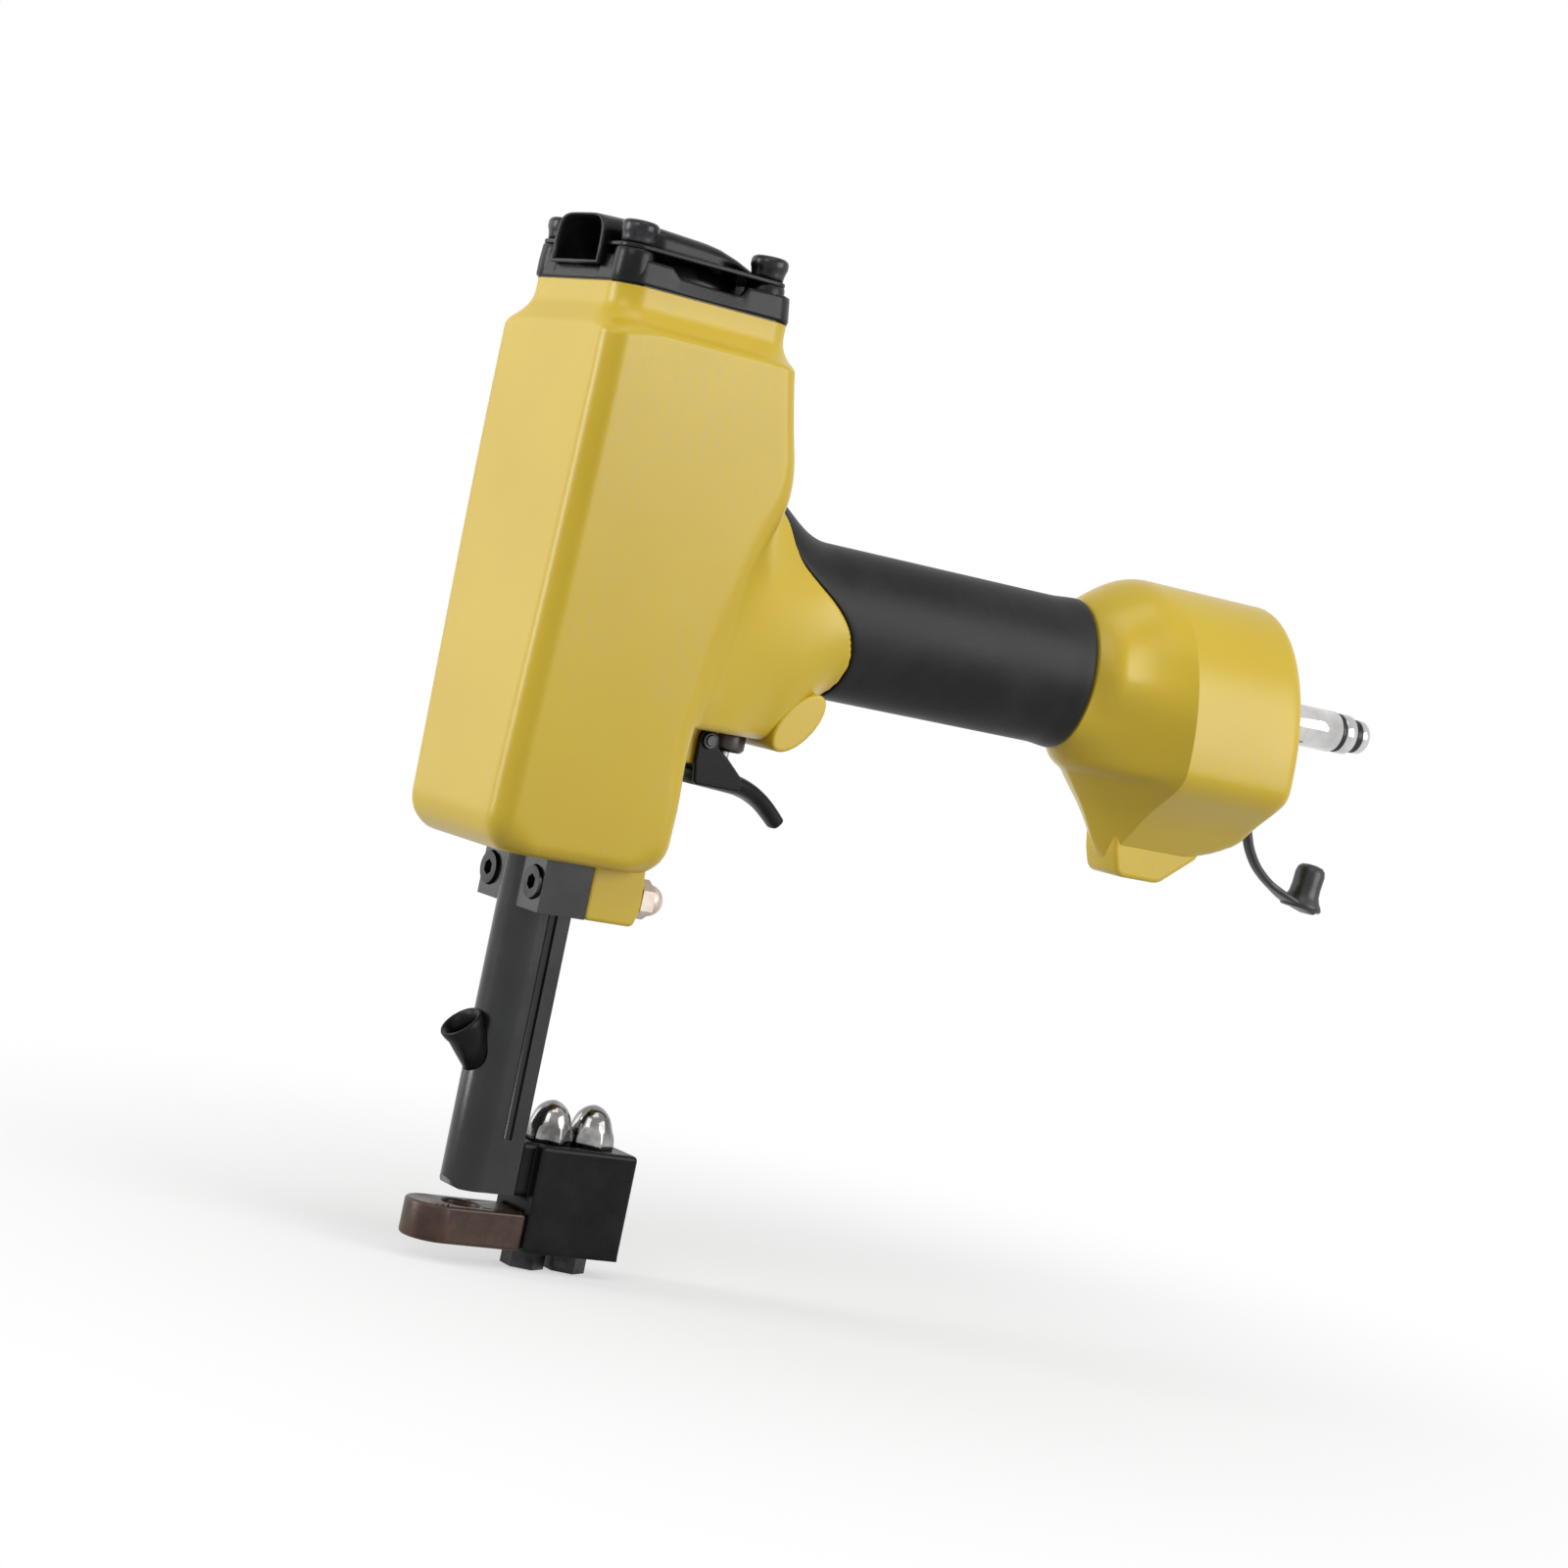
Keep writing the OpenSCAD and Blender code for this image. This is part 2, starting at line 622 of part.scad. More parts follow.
module nose_guide() {
    color("#1f2023") difference() {
        union() {
            cylinder(r = nose_r, h = nose_len);
            translate([0, -nose_r + 0.4, 0]) cube([nose_back, 2 * nose_r - 0.8, nose_len - flange_h]);
            translate([-flange_front, -flange_half, nose_len - flange_h])
                cube([flange_front + flange_back, 2 * flange_half, flange_h]);
            translate([0, 0, nose_len - 0.5]) cylinder(r = spigot_r, h = floor_t + 0.5);
        }
        translate([0, 0, -1]) cylinder(r = drive_bore_r, h = nose_len + floor_t + 2);
        translate([0, 0, -1]) cylinder(r = nail_bore_r, h = nail_bore_len + 1);
        along_spout() cylinder(r = spout_bore_r, h = spout_len);
        ahead_of_nail() along_spout() cylinder(r = spout_r, h = spout_len + 1);
        for (sy = [-1, 1]) translate([6.6, sy * (nose_r - 0.4), block_rise]) cylinder(r = 1.5, h = nose_len - flange_h - block_rise);
        at_nose_screws(-flange_front - 1) cylinder(r = nose_screw_r, h = flange_front + flange_back + 2);
        at_nose_screws(-flange_front - 1) cylinder(r = 5, h = head_pocket + 1);
        translate([-nose_r - 1, -nose_r - 1, -1]) rotate([0, 0, 0]) across_y(6 * nose_r)
            polygon([[0, 0], [nose_r - nail_bore_r + 0.4, 0], [nose_r - nail_bore_r + 0.4, 1], [0, 4.4]]);
    }
}

module nose_screws() {
    color("#222325") at_nose_screws(-flange_front + head_pocket) {
        cylinder(r = nose_screw_r, h = flange_back - head_pocket + flange_front + lug_len + 0.6 * nose_nut_h);
        translate([0, 0, -head_pocket - 1]) difference() {
            cylinder(r = 4.6, h = head_pocket + 1);
            translate([0, 0, -1]) hex(4, 3.6);
        }
    }
}

module nose_nuts() {
    color("#d6d3cf") at_nose_screws(flange_back + lug_len) acorn_nut(10, 4, nose_nut_h, nose_screw_r);
}

module feed_spout() {
    color("#17181a") ahead_of_nail() along_spout() difference() {
        cylinder(r = spout_r, h = spout_len);
        translate([0, 0, -1]) cylinder(r = spout_bore_r, h = spout_len + 2);
        translate([0, 0, spout_len - 3]) cylinder(r1 = spout_bore_r, r2 = spout_r - 0.8, h = 3.01);
    }
}

// Foot

plate_top = -throat;
tongue_half = 6;
tongue_len = block_len - 4;
module foot_block() {
    color("#232426") difference() {
        union() {
            translate([nose_back, -nose_r + 0.4, 0]) cube([block_front - nose_back + 1, 2 * nose_r - 0.8, block_rise]);
            translate([block_front, -block_half, plate_top - plate_t])
                cube([block_len, 2 * block_half, block_rise + throat + plate_t]);
        }
        translate([block_front - 1, -tongue_half, plate_top - plate_t - 1])
            cube([tongue_len + 1, 2 * tongue_half, plate_t + 1]);
        for (i = [0, 1]) translate([block_front + foot_bolt_in + i * foot_bolt_gap, 0, plate_top - 1])
            cylinder(r = foot_bolt_r, h = block_rise + throat + 2);
    }
}

module foot_plate() {
    color("#4a342c") difference() {
        union() {
            translate([-plate_front + plate_half, 0, plate_top - plate_t]) cylinder(r = plate_half, h = plate_t);
            translate([-plate_front + plate_half, -plate_half, plate_top - plate_t])
                cube([block_front + plate_front - plate_half, 2 * plate_half, plate_t]);
            translate([block_front - 1, -tongue_half, plate_top - plate_t])
                cube([tongue_len + 1, 2 * tongue_half, plate_t]);
        }
        translate([0, 0, plate_top - plate_t - 1]) cylinder(r = plate_hole_r, h = plate_t + 2);
        for (i = [0, 1]) translate([block_front + foot_bolt_in + i * foot_bolt_gap, 0, plate_top - plate_t - 1])
            cylinder(r = foot_bolt_r, h = plate_t + 2);
    }
}

module at_foot_bolts(z) {
    for (i = [0, 1]) translate([block_front + foot_bolt_in + i * foot_bolt_gap, 0, z]) children();
}

module foot_bolts() {
    color("#1a1a1b") at_foot_bolts(plate_top - plate_t) {
        translate([0, 0, -1]) cylinder(r = foot_bolt_r, h = plate_t + throat + block_rise + 1 + 0.6 * foot_nut_h);
        translate([0, 0, -5.5]) rotate([0, 0, 30]) hex(11, 5.5);
    }
}

module foot_nuts() {
    color("#cfcac4") at_foot_bolts(block_rise) rotate([0, 0, 30]) acorn_nut(11, 6.4, foot_nut_h, foot_bolt_r);
}

// Grip

module grip_sleeve() {
    color("#38383a") difference() {
        along_x(40, grip_end - 40) polygon(ellipse_points(grip_a, grip_b, handle_z));
        along_x(39, grip_end) polygon(ellipse_points(grip_a - grip_wall, grip_b - grip_wall, handle_z));
        across_y(60) polygon(ahead_of_grip);
    }
}

// Trigger

trigger_points = [for (p = [[-2.5, -13.7], [17, -13.6], [24, -18.5], [29, -21.3], [31.6, -21.6], [32.6, -20.4],
    [32.3, -18.8], [28, -14.2], [25, -12.2], [21.5, -10.6], [14.5, -8.9], [12, -6.6], [7.7, -6.6], [5.4, -5.3],
    [3.4, -3], [-1, -5], [-3, -9.2]]) [pin_x + p[0], pin_z + p[1]]];

module trigger() {
    color("#2e2e30") difference() {
        union() {
            across_y(2 * trigger_half) polygon(trigger_points);
            for (sy = [-1, 1]) translate([pin_x, sy * (lug_half + 0.2 + 1), pin_z]) rotate([90, 0, 0])
                cylinder(r = 2.7, h = 2, center = true);
            for (sy = [-1, 1]) translate([pin_x - 1, sy * (lug_half + 1.2) - 1, pin_z - 6.5]) cube([4.5, 2, 5]);
        }
        translate([pin_x, 0, pin_z]) rotate([90, 0, 0]) cylinder(r = pin_r + run_gap, h = 40, center = true);
        translate([pin_x - 10, -lug_half - 0.2, pin_z - 5.4]) cube([15.6, 2 * lug_half + 0.4, 12]);
    }
}

module trigger_pin() {
    color("#8d9094") translate([pin_x, 0, pin_z]) rotate([90, 0, 0])
        cylinder(r = pin_r, h = 2 * (lug_half + 3.4), center = true);
}

module trigger_pin_clips() {
    color("#6f7275") for (sy = [-1, 1]) translate([pin_x, sy * (lug_half + 2.75), pin_z]) rotate([90, 0, 0]) difference() {
        cylinder(r = pin_r + 1, h = 0.5, center = true);
        cylinder(r = pin_r, h = 2, center = true);
    }
}

// Valve

stem_r = 1.7;
stem_low = pin_z - 6.45;
collar_r = 3.1;
stem_collar_z = root_low + 7;
cavity_r = 3.5;
module valve_body() {
    color("#3b2c27") difference() {
        union() {
            translate([valve_x, 0, valve_low + 1]) cylinder(r = valve_r, h = root_low - valve_low - 1);
            translate([valve_x, 0, valve_low]) cylinder(r1 = valve_r - 1, r2 = valve_r, h = 1);
            translate([valve_x, 0, root_low - 0.5]) cylinder(r = valve_bore_r - run_gap, h = valve_top - root_low + 0.5);
        }
        translate([valve_x, 0, valve_low - 1]) cylinder(r = stem_r + run_gap, h = 40);
        translate([valve_x, 0, root_low + 5]) cylinder(r = cavity_r, h = valve_top - root_low - 7);
        for (z = [3, 18.9]) translate([valve_x, 0, root_low + z]) groove(valve_bore_r - run_gap, 0.6);
    }
}

module valve_body_orings() {
    color("#1c1c1c") for (z = [3, 18.9]) translate([valve_x, 0, root_low + z]) oring(valve_bore_r - run_gap, 0.6);
}

module valve_stem() {
    color("#2c2d2f") translate([valve_x, 0, 0]) difference() {
        union() {
            translate([0, 0, stem_low]) cylinder(r = stem_r, h = valve_top - stem_low - 0.5);
            translate([0, 0, stem_collar_z]) cylinder(r = collar_r, h = 2);
        }
        translate([0, 0, root_low + 1]) groove(stem_r, 0.35);
    }
}

module valve_stem_oring() {
    color("#1c1c1c") translate([valve_x, 0, root_low + 1]) oring(stem_r, 0.35);
}

module valve_spring() {
    color("silver") translate([valve_x, 0, stem_collar_z + 2.1]) difference() {
        cylinder(r = 2.9, h = valve_top - 2 - stem_collar_z - 2.2);
        translate([0, 0, -1]) cylinder(r = stem_r + 0.3, h = 20);
    }
}

// Rear cover and air inlet

cover_gasket_t = 0.6;
boss_len = 9;
washer_t = 1;
hex_x = tank_x1 + boss_len + washer_t;
module at_cover_screws(x) {
    for (a = [45:90:315]) translate([x, cover_screw_pcr * cos(a), handle_z + cover_screw_pcr * sin(a)])
        rotate([0, 90, 0]) children();
}

module rear_cover() {
    color("#c9a93a") difference() {
        translate([0, 0, handle_z]) rotate([0, 90, 0]) {
            translate([0, 0, seat_x]) cylinder(r = cover_r, h = cover_t);
            translate([0, 0, tank_x1 - 0.5]) cylinder(r = boss_r, h = boss_len + 0.5);
        }
        translate([seat_x - 1, 0, handle_z]) rotate([0, 90, 0]) cylinder(r = plug_thread_r, h = cover_t + boss_len + 2);
        translate([seat_x - 1, 0, handle_z]) rotate([0, 90, 0]) cylinder(r = plug_thread_r + 1, h = 2.6);
        at_cover_screws(seat_x - 1) cylinder(r = cover_screw_r + 0.2, h = cover_t + 2);
        at_cover_screws(tank_x1 - 2) cylinder(r = 3.4, h = 3);
    }
}

module cover_gasket() {
    color("#1c1c1c") difference() {
        translate([seat_x - cover_gasket_t, 0, handle_z]) rotate([0, 90, 0]) cylinder(r = cover_r, h = cover_gasket_t);
        translate([seat_x - 2, 0, handle_z]) rotate([0, 90, 0]) cylinder(r = cover_r - 8, h = 4);
        at_cover_screws(seat_x - 2) cylinder(r = cover_screw_r + 0.2, h = 4);
    }
}

module cover_screws() {
    color("#3a3a3c") at_cover_screws(tank_x1 - 2) difference() {
        union() {
            translate([0, 0, -cover_t - 4]) cylinder(r = cover_screw_r, h = cover_t + 4.5);
            cylinder(r = 3.2, h = 2.6);
        }
        translate([0, 0, 1.2]) hex(2.6, 3);
    }
}

plug_thread_r = 6.2;
module inlet_screen() {
    color("#b79a5c") translate([seat_x, 0, handle_z]) rotate([0, 90, 0]) difference() {
        cylinder(r = plug_thread_r + 0.9, h = 1.4);
        for (i = [-1:1], j = [-1:1]) translate([2.6 * i, 2.6 * j, -1]) cylinder(r = 0.8, h = 4);
    }
}

module plug_washer() {
    color("#b8733a") translate([tank_x1 + boss_len, 0, handle_z]) rotate([0, 90, 0]) difference() {
        cylinder(r = boss_r - 0.2, h = washer_t);
        translate([0, 0, -1]) cylinder(r = plug_thread_r, h = washer_t + 2);
    }
}

module air_plug() {
    color("#dcdee0") translate([0, 0, handle_z]) rotate([0, 90, 0]) difference() {
        union() {
            translate([0, 0, seat_x + 2]) cylinder(r = plug_thread_r, h = hex_x - seat_x - 1);
            translate([0, 0, hex_x]) hex(plug_af, 6);
            translate([0, 0, hex_x + 6]) cylinder(r = plug_r, h = 0.62 * plug_len);
            translate([0, 0, hex_x + 5]) cylinder(r = plug_r - 1.6, h = plug_len - 4);
            translate([0, 0, hex_x + 6 + 0.68 * plug_len]) cylinder(r1 = plug_r - 0.4, r2 = plug_r - 1.6, h = 0.3 * plug_len);
        }
        translate([0, 0, seat_x + 1]) cylinder(r = plug_bore_r, h = plug_len + 40);
    }
}

// Dust cap: a ring on the inlet boss, a hanging strap and a tapered stopper, moulded in one piece
strap_t = 2.2;
strap_w = 3.4;
ring_x = tank_x1 + 4;
strap_line = [[ring_x + 1.2, handle_z - boss_r - 0.9], [ring_x + 4, handle_z - 26], [ring_x + 7.4, handle_z - 38],
    [ring_x + 11, handle_z - 44.6], [ring_x + 17, handle_z - 50], [ring_x + 25, handle_z - 54],
    [ring_x + 33, handle_z - 56.8], [ring_x + 41.5, handle_z - 58.8]];
function unit(v) = v / norm(v);
function side(i, line) = let (n = len(line), a = line[max(i - 1, 0)], b = line[min(i + 1, n - 1)], d = unit(b - a))
    [-d[1], d[0]];
strap_outline = concat([for (i = [0:len(strap_line) - 1]) strap_line[i] + side(i, strap_line) * strap_t / 2],
    [for (i = [len(strap_line) - 1:-1:0]) strap_line[i] - side(i, strap_line) * strap_t / 2]);
stopper_tilt = 15;

module dust_cap() {
    color("#1b1b1c") {
        translate([ring_x, 0, handle_z]) rotate([0, 90, 0]) difference() {
            cylinder(r = boss_r + 2, h = 2.4);
            translate([0, 0, -1]) cylinder(r = boss_r + 0.1, h = 5);
        }
        across_y(strap_w) polygon(strap_outline);
        translate([ring_x + 34.5, 0, handle_z - 57.2]) rotate([0, stopper_tilt, 0]) {
            translate([0, 0, -1]) cylinder(r = 5.4, h = 2.4);
            translate([0, 0, 1]) cylinder(r1 = 4.9, r2 = 3.4, h = 12);
        }
    }
}

housing();
cylinder_cap();
exhaust_deflector();
cap_screws();
cap_gasket();
head_valve();
head_valve_seal();
head_valve_oring();
head_valve_spring();
cylinder_sleeve();
sleeve_orings();
piston();
piston_ring();
driver_rod();
driver_nut();
bumper();
nose_guide();
nose_screws();
nose_nuts();
feed_spout();
foot_block();
foot_plate();
foot_bolts();
foot_nuts();
grip_sleeve();
trigger();
trigger_pin();
trigger_pin_clips();
valve_body();
valve_body_orings();
valve_stem();
valve_stem_oring();
valve_spring();
rear_cover();
cover_gasket();
cover_screws();
inlet_screen();
air_plug();
plug_washer();
dust_cap();
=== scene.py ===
# %% [markdown]
# # A pneumatic nailer, dressed over its CAD frame
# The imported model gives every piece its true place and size, in metres. This scene keeps that frame and
# puts the look of the real tool over it: a painted die casting, a rubber grip, black castings, plated nuts
# and a rubber dust cap. +Z runs up the driver line, +X runs back along the handle, and the tool is the same
# on both sides of Y = 0.

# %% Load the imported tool
import json
import math
import bmesh
import bpy
import numpy as np
from mathutils import Matrix, Vector

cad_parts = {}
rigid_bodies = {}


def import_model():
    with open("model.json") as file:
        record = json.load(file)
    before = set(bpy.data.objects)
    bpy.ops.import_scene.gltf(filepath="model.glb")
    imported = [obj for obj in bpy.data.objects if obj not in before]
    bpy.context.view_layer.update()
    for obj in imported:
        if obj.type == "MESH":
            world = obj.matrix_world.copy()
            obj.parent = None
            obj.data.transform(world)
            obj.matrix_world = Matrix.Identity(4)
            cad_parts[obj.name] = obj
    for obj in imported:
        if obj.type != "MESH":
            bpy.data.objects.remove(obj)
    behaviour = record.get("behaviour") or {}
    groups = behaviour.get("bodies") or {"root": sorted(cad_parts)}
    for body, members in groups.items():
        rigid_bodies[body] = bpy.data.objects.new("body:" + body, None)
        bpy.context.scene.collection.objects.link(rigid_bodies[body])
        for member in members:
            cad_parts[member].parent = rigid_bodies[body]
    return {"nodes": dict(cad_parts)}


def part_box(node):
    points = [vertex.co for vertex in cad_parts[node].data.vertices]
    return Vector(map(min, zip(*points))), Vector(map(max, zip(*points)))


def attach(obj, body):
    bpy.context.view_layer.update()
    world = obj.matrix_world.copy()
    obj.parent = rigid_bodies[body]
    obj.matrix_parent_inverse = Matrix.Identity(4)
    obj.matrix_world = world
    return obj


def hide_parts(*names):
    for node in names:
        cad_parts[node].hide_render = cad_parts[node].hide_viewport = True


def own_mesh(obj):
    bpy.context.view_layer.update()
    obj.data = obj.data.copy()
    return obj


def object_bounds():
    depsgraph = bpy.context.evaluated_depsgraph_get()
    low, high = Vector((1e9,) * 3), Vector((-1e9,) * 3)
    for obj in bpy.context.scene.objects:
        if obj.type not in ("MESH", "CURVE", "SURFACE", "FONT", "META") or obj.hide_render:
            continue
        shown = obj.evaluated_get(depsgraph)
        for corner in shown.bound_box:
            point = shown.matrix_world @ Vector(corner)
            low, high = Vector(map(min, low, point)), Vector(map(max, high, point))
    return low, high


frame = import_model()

nodes = frame["nodes"]
scene = bpy.context.scene
cad_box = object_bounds()
print("CAD nodes:", len(nodes))

# %% [markdown]
# ## Putting arrays into a mesh
# All sizes below are in millimetres, as on a drawing, and become metres only here. A closed skin is a stack
# of rings: each ring is a closed loop of points, and neighbouring rings are joined by quads. If the skin
# comes out with its faces pointing inwards, its signed volume is negative, and every face is turned round.

# %% Mesh helpers
# One millimetre in metres.
MM = 0.001


def put_mesh(name, skins, body, covers):
    """Makes one object from skins in millimetres, rides it on a body and lets it stand for CAD nodes. The
    faces of each skin are counted on from the last point of the one before."""
    points = np.vstack([part for part, _ in skins])
    faces, start = [], 0
    for part, part_faces in skins:
        faces += [[i + start for i in face] for face in part_faces]
        start += len(part)
    mesh = bpy.data.meshes.new(name)
    mesh.from_pydata((points * MM).tolist(), [], faces)
    mesh.update()
    mesh.shade_smooth()
    piece = bpy.data.objects.new(name, mesh)
    scene.collection.objects.link(piece)
    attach(piece, body)
    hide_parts(*covers)
    print(name, "has", len(faces), "faces")
    return piece


def skin(rings, ends="caps"):
    """Points and faces of a skin through rings (count, around, 3). ends: "caps" closes both ends with one
    flat face each, and "ring" joins the last ring to the first. Six times the signed volume is the sum,
    over all triangles a b c, of (b - m) x (c - m) . (a - m), where m is the mean of the points."""
    count, around = rings.shape[:2]
    points = rings.reshape(-1, 3)
    index = np.arange(count * around).reshape(count, around)
    rows = np.vstack([index, index[:1]]) if ends == "ring" else index
    a, b = rows[:-1], rows[1:]
    quads = np.stack([a, np.roll(a, -1, 1), np.roll(b, -1, 1), b], -1).reshape(-1, 4)
    faces = quads.tolist()
    if ends == "caps":
        faces += [index[0, ::-1].tolist(), index[-1].tolist()]
    arm = points[quads] - points.mean(0)
    volume = sum((np.cross(arm[:, i], arm[:, i + 1]) * arm[:, 0]).sum() for i in (1, 2))
    if volume < 0:
        faces = [face[::-1] for face in faces]
    return points, faces


def lathe(profile, at=(0, 0, 0), way=(0, 0, 1), around=48):
    """A turned skin: each (radius, height) of the profile becomes the circle at + height way + radius (cos
    first + sin second), where first and second stand square to the way and to each other."""
    r, h = np.array(profile, float).T[:, :, None]
    way = np.array(way, float) / np.linalg.norm(way)
    first = np.cross((0, 1, 0) if abs(way[1]) < 0.9 else (1, 0, 0), way)
    first /= np.linalg.norm(first)
    second = np.cross(way, first)
    turn = np.linspace(0, 2 * np.pi, around, endpoint=False)
    flat = (r * np.cos(turn))[..., None] * first + (r * np.sin(turn))[..., None] * second
    return skin(flat + h[..., None] * way + np.array(at, float))


print("a turned pin of two rings has", len(lathe([(1, 0), (1, 5)])[1]), "faces")

# %% [markdown]
# ## Soft joins, as a foundry makes them
# A casting is a few plain volumes run together, with a fillet in every inner corner and a radius on every
# outer one. Each volume is written as a distance: negative inside, positive outside. Joining two distances
# with a quarter circle of radius r leaves a true fillet between the volumes, and cutting with one leaves a
# true round on the edge.

# %% Distances and their joins
def ease(t):
    """The smooth step: 0 below 0, 1 above 1, and 3t2 - 2t3 between."""
    t = np.clip(t, 0, 1)
    return t * t * (3 - 2 * t)


def soft_table(t, places, values, reach):
    """A table read in straight lines between its entries, then averaged over five places from t - reach to
    t + reach, which rounds its kinks."""
    return sum(np.interp(t + step, places, values) for step in np.linspace(-reach, reach, 5)) / 5


def fillet_join(a, b, r):
    """What lies in either, with a fillet: r less the length of (r - a, r - b) where both are short of r."""
    return np.maximum(r, np.minimum(a, b)) - np.hypot(np.maximum(r - a, 0), np.maximum(r - b, 0))


def round_cut(a, b, r):
    """What lies in both, with a rounded edge: the length of (r + a, r + b) less r where both pass -r."""
    return np.minimum(-r, np.maximum(a, b)) + np.hypot(np.maximum(r + a, 0), np.maximum(r + b, 0))


def ellipse_distance(y, z, a, b):
    """Nearly the distance to an ellipse: k (k - 1) / g, where k is the length of (y/a, z/b) and g that of
    (y/a2, z/b2)."""
    k = np.hypot(y / a, z / b)
    return k * (k - 1) / np.maximum(np.hypot(y / a**2, z / b**2), 1e-6)


def round_box_distance(x, y, half_x, half_y, corner):
    """Distance to a rectangle with round corners: that to the rectangle of their centres, less corner."""
    qx = np.abs(x) - half_x + corner
    qy = np.abs(y) - half_y + corner
    return np.hypot(np.maximum(qx, 0), np.maximum(qy, 0)) + np.minimum(np.maximum(qx, qy), 0) - corner


print("a 5 mm fillet fills a square corner", round(-float(fillet_join(0.0, 0.0, 5.0)), 2), "mm deep")

# %% [markdown]
# ## From a distance to points
# A mould maker would scan such a blend with a probe, and this does the same. Rays leave an axis inside the
# volume, and each one reports where it comes out. The grid of rays is then the grid of the skin, so its
# lines can be close together where a fillet bends fast and wide apart on a plain wall.

# %% Rays that find a skin
def trace(field, start, way, far, steps=40, halvings=22):
    """Points where rays meet a skin: from far out each ray steps in until the field turns negative, and the
    last step is halved again and again. start, way: arrays of points and unit directions."""
    r = np.full(start.shape[:-1], float(far))
    inner = np.zeros_like(r)
    found = np.zeros(r.shape, bool)
    for i in range(steps):
        t = far * (1 - (i + 1) / steps)
        inside = field(*np.moveaxis(start + t * way, -1, 0)) < 0
        new = inside & ~found
        inner = np.where(new, t, inner)
        r = np.where(new, t + far / steps, r)
        found |= inside
    for _ in range(halvings):
        t = (inner + r) / 2
        inside = field(*np.moveaxis(start + t[..., None] * way, -1, 0)) < 0
        inner, r = np.where(inside, t, inner), np.where(inside, r, t)
    return start + ((inner + r) / 2)[..., None] * way


probe = trace(lambda x, y, z: np.hypot(x, z) - 10, np.zeros((1, 3)), np.array([[1.0, 0, 0]]), 30)
print("the probe finds a 10 mm bar at", round(float(probe[0, 0]), 4))

# %% [markdown]
# ## The yellow housing: its volumes
# The real housing is one die casting: a tall body that tapers down to the nose, a neck under the black cap,
# a handle root that sweeps out of the body's back, and the air tank behind the grip. The paint follows
# every fillet, so the fillets are what the light shows. First come the body and its neck.

# %% Body and neck
# Heights of the body's foot, of its shoulder and of the neck's top, and half its greatest width.
BODY_LOW = 97.3
SHOULDER = 244.0
NECK_TOP = 256.2
HALF_WIDTH = 33.0

# The neck and the cap on it share one outline, centred a little behind the driver line.
CAP_X = 4.6
CAP_HALF_X = 28.8
CAP_HALF_Y = 27.5

# The body's back, from its foot up to the neck: straight, then out to the handle's root and in again.
REAR_Z = [97, 110, 128, 141, 163, 190, 204, 212, 222, 232, 239.5, 244.7, 260]
REAR_X = [29.2, 29.2, 29.5, 31, 33.2, 39.2, 43.6, 43.4, 40.4, 37.6, 36, 34.6, 34]


def body_half(z):
    """Half the body's width: 33 at the shoulder, drawn in slowly to about 28 at the bottom."""
    return HALF_WIDTH - 5.2 * (1 - ease((z - 92) / 150) ** 0.7) * (z < 242)


def body_distance(x, y, z):
    """The body and neck. Below the shoulder everything belongs to the body, above it only the neck, with a
    wide fillet between. Then the front, back and side walls cut both, which leaves the shoulder its crisp
    edge. The upright edges are 6.5 round in front and up to 11.5 behind, the foot's 4 in the middle and 9.5
    at its ends."""
    front = -29.5 + 1.5 * (z - BODY_LOW) / 147
    rear = soft_table(z, REAR_Z, REAR_X, 5)
    upright = 6.5 + 5 * ease((x - 10) / 15) * ease((z - 115) / 25) * ease((222 - z) / 25)
    walls = round_cut(np.maximum(front - x, x - rear), np.abs(y) - body_half(z), upright)
    neck = round_box_distance(x - CAP_X, y, CAP_HALF_X, CAP_HALF_Y, 8.5)
    top = fillet_join(z - SHOULDER, np.maximum(neck, z - NECK_TOP), 9.0)
    block = round_cut(walls, top, 1.1 + 1.6 * ease((-10 - x) / 12))
    return round_cut(block, BODY_LOW - z, 4.0 + 5.5 * ease((np.abs(x) - 14) / 12))


print("body widths:", [round(2 * float(body_half(z)), 1) for z in (100, 170, 240)])

# %% [markdown]
# ## The yellow housing: the handle line
# The handle is an ellipse that grows a root towards the body and turns into the air tank behind the grip.
# The tank is half an ellipse over straight sides, with a keel that draws in to the foot. A crease marks
# where the handle has become the tank. The rubber lies in a shallow seat, so its front edge is part of the
# casting's shape too.

# %% Handle, root and tank
# Half the grip's width and height over its rubber, and the height of its long axis.
GRIP_A = 16.0
GRIP_B = 22.5
GRIP_Z = 178.0
# Places along x: the grip's rear end, the crease of the tank and the tank's rear face.
GRIP_END = 170
CREASE = 199
TANK_REAR = 243.0
# How deep the rubber lies in the casting.
SEAT_DEPTH = 1.6

# The S of the rubber's front edge, from below: it bows back round the root and then runs up the fillet.
BOW_Z = [150, 155.4, 161.8, 167.9, 176.9, 182.9, 188.8]
BOW_X = [80, 81, 83, 83.4, 79.9, 74.3, 65.9]


def grip_edge(z):
    """The front edge of the rubber's seat: its distance behind the driver line at each height."""
    return soft_table(z, BOW_Z + [193.8, 200, 207], BOW_X + [59.6, 58.2, 58], 2)


def root_top(x):
    """How far the handle's upper half grows near the body: a parabola from x = 75, then a straight line."""
    return 5 * (np.clip(75 - x, 0, 13.5) / 13.5) ** 2 + 0.74 * np.maximum(61.5 - x, 0)


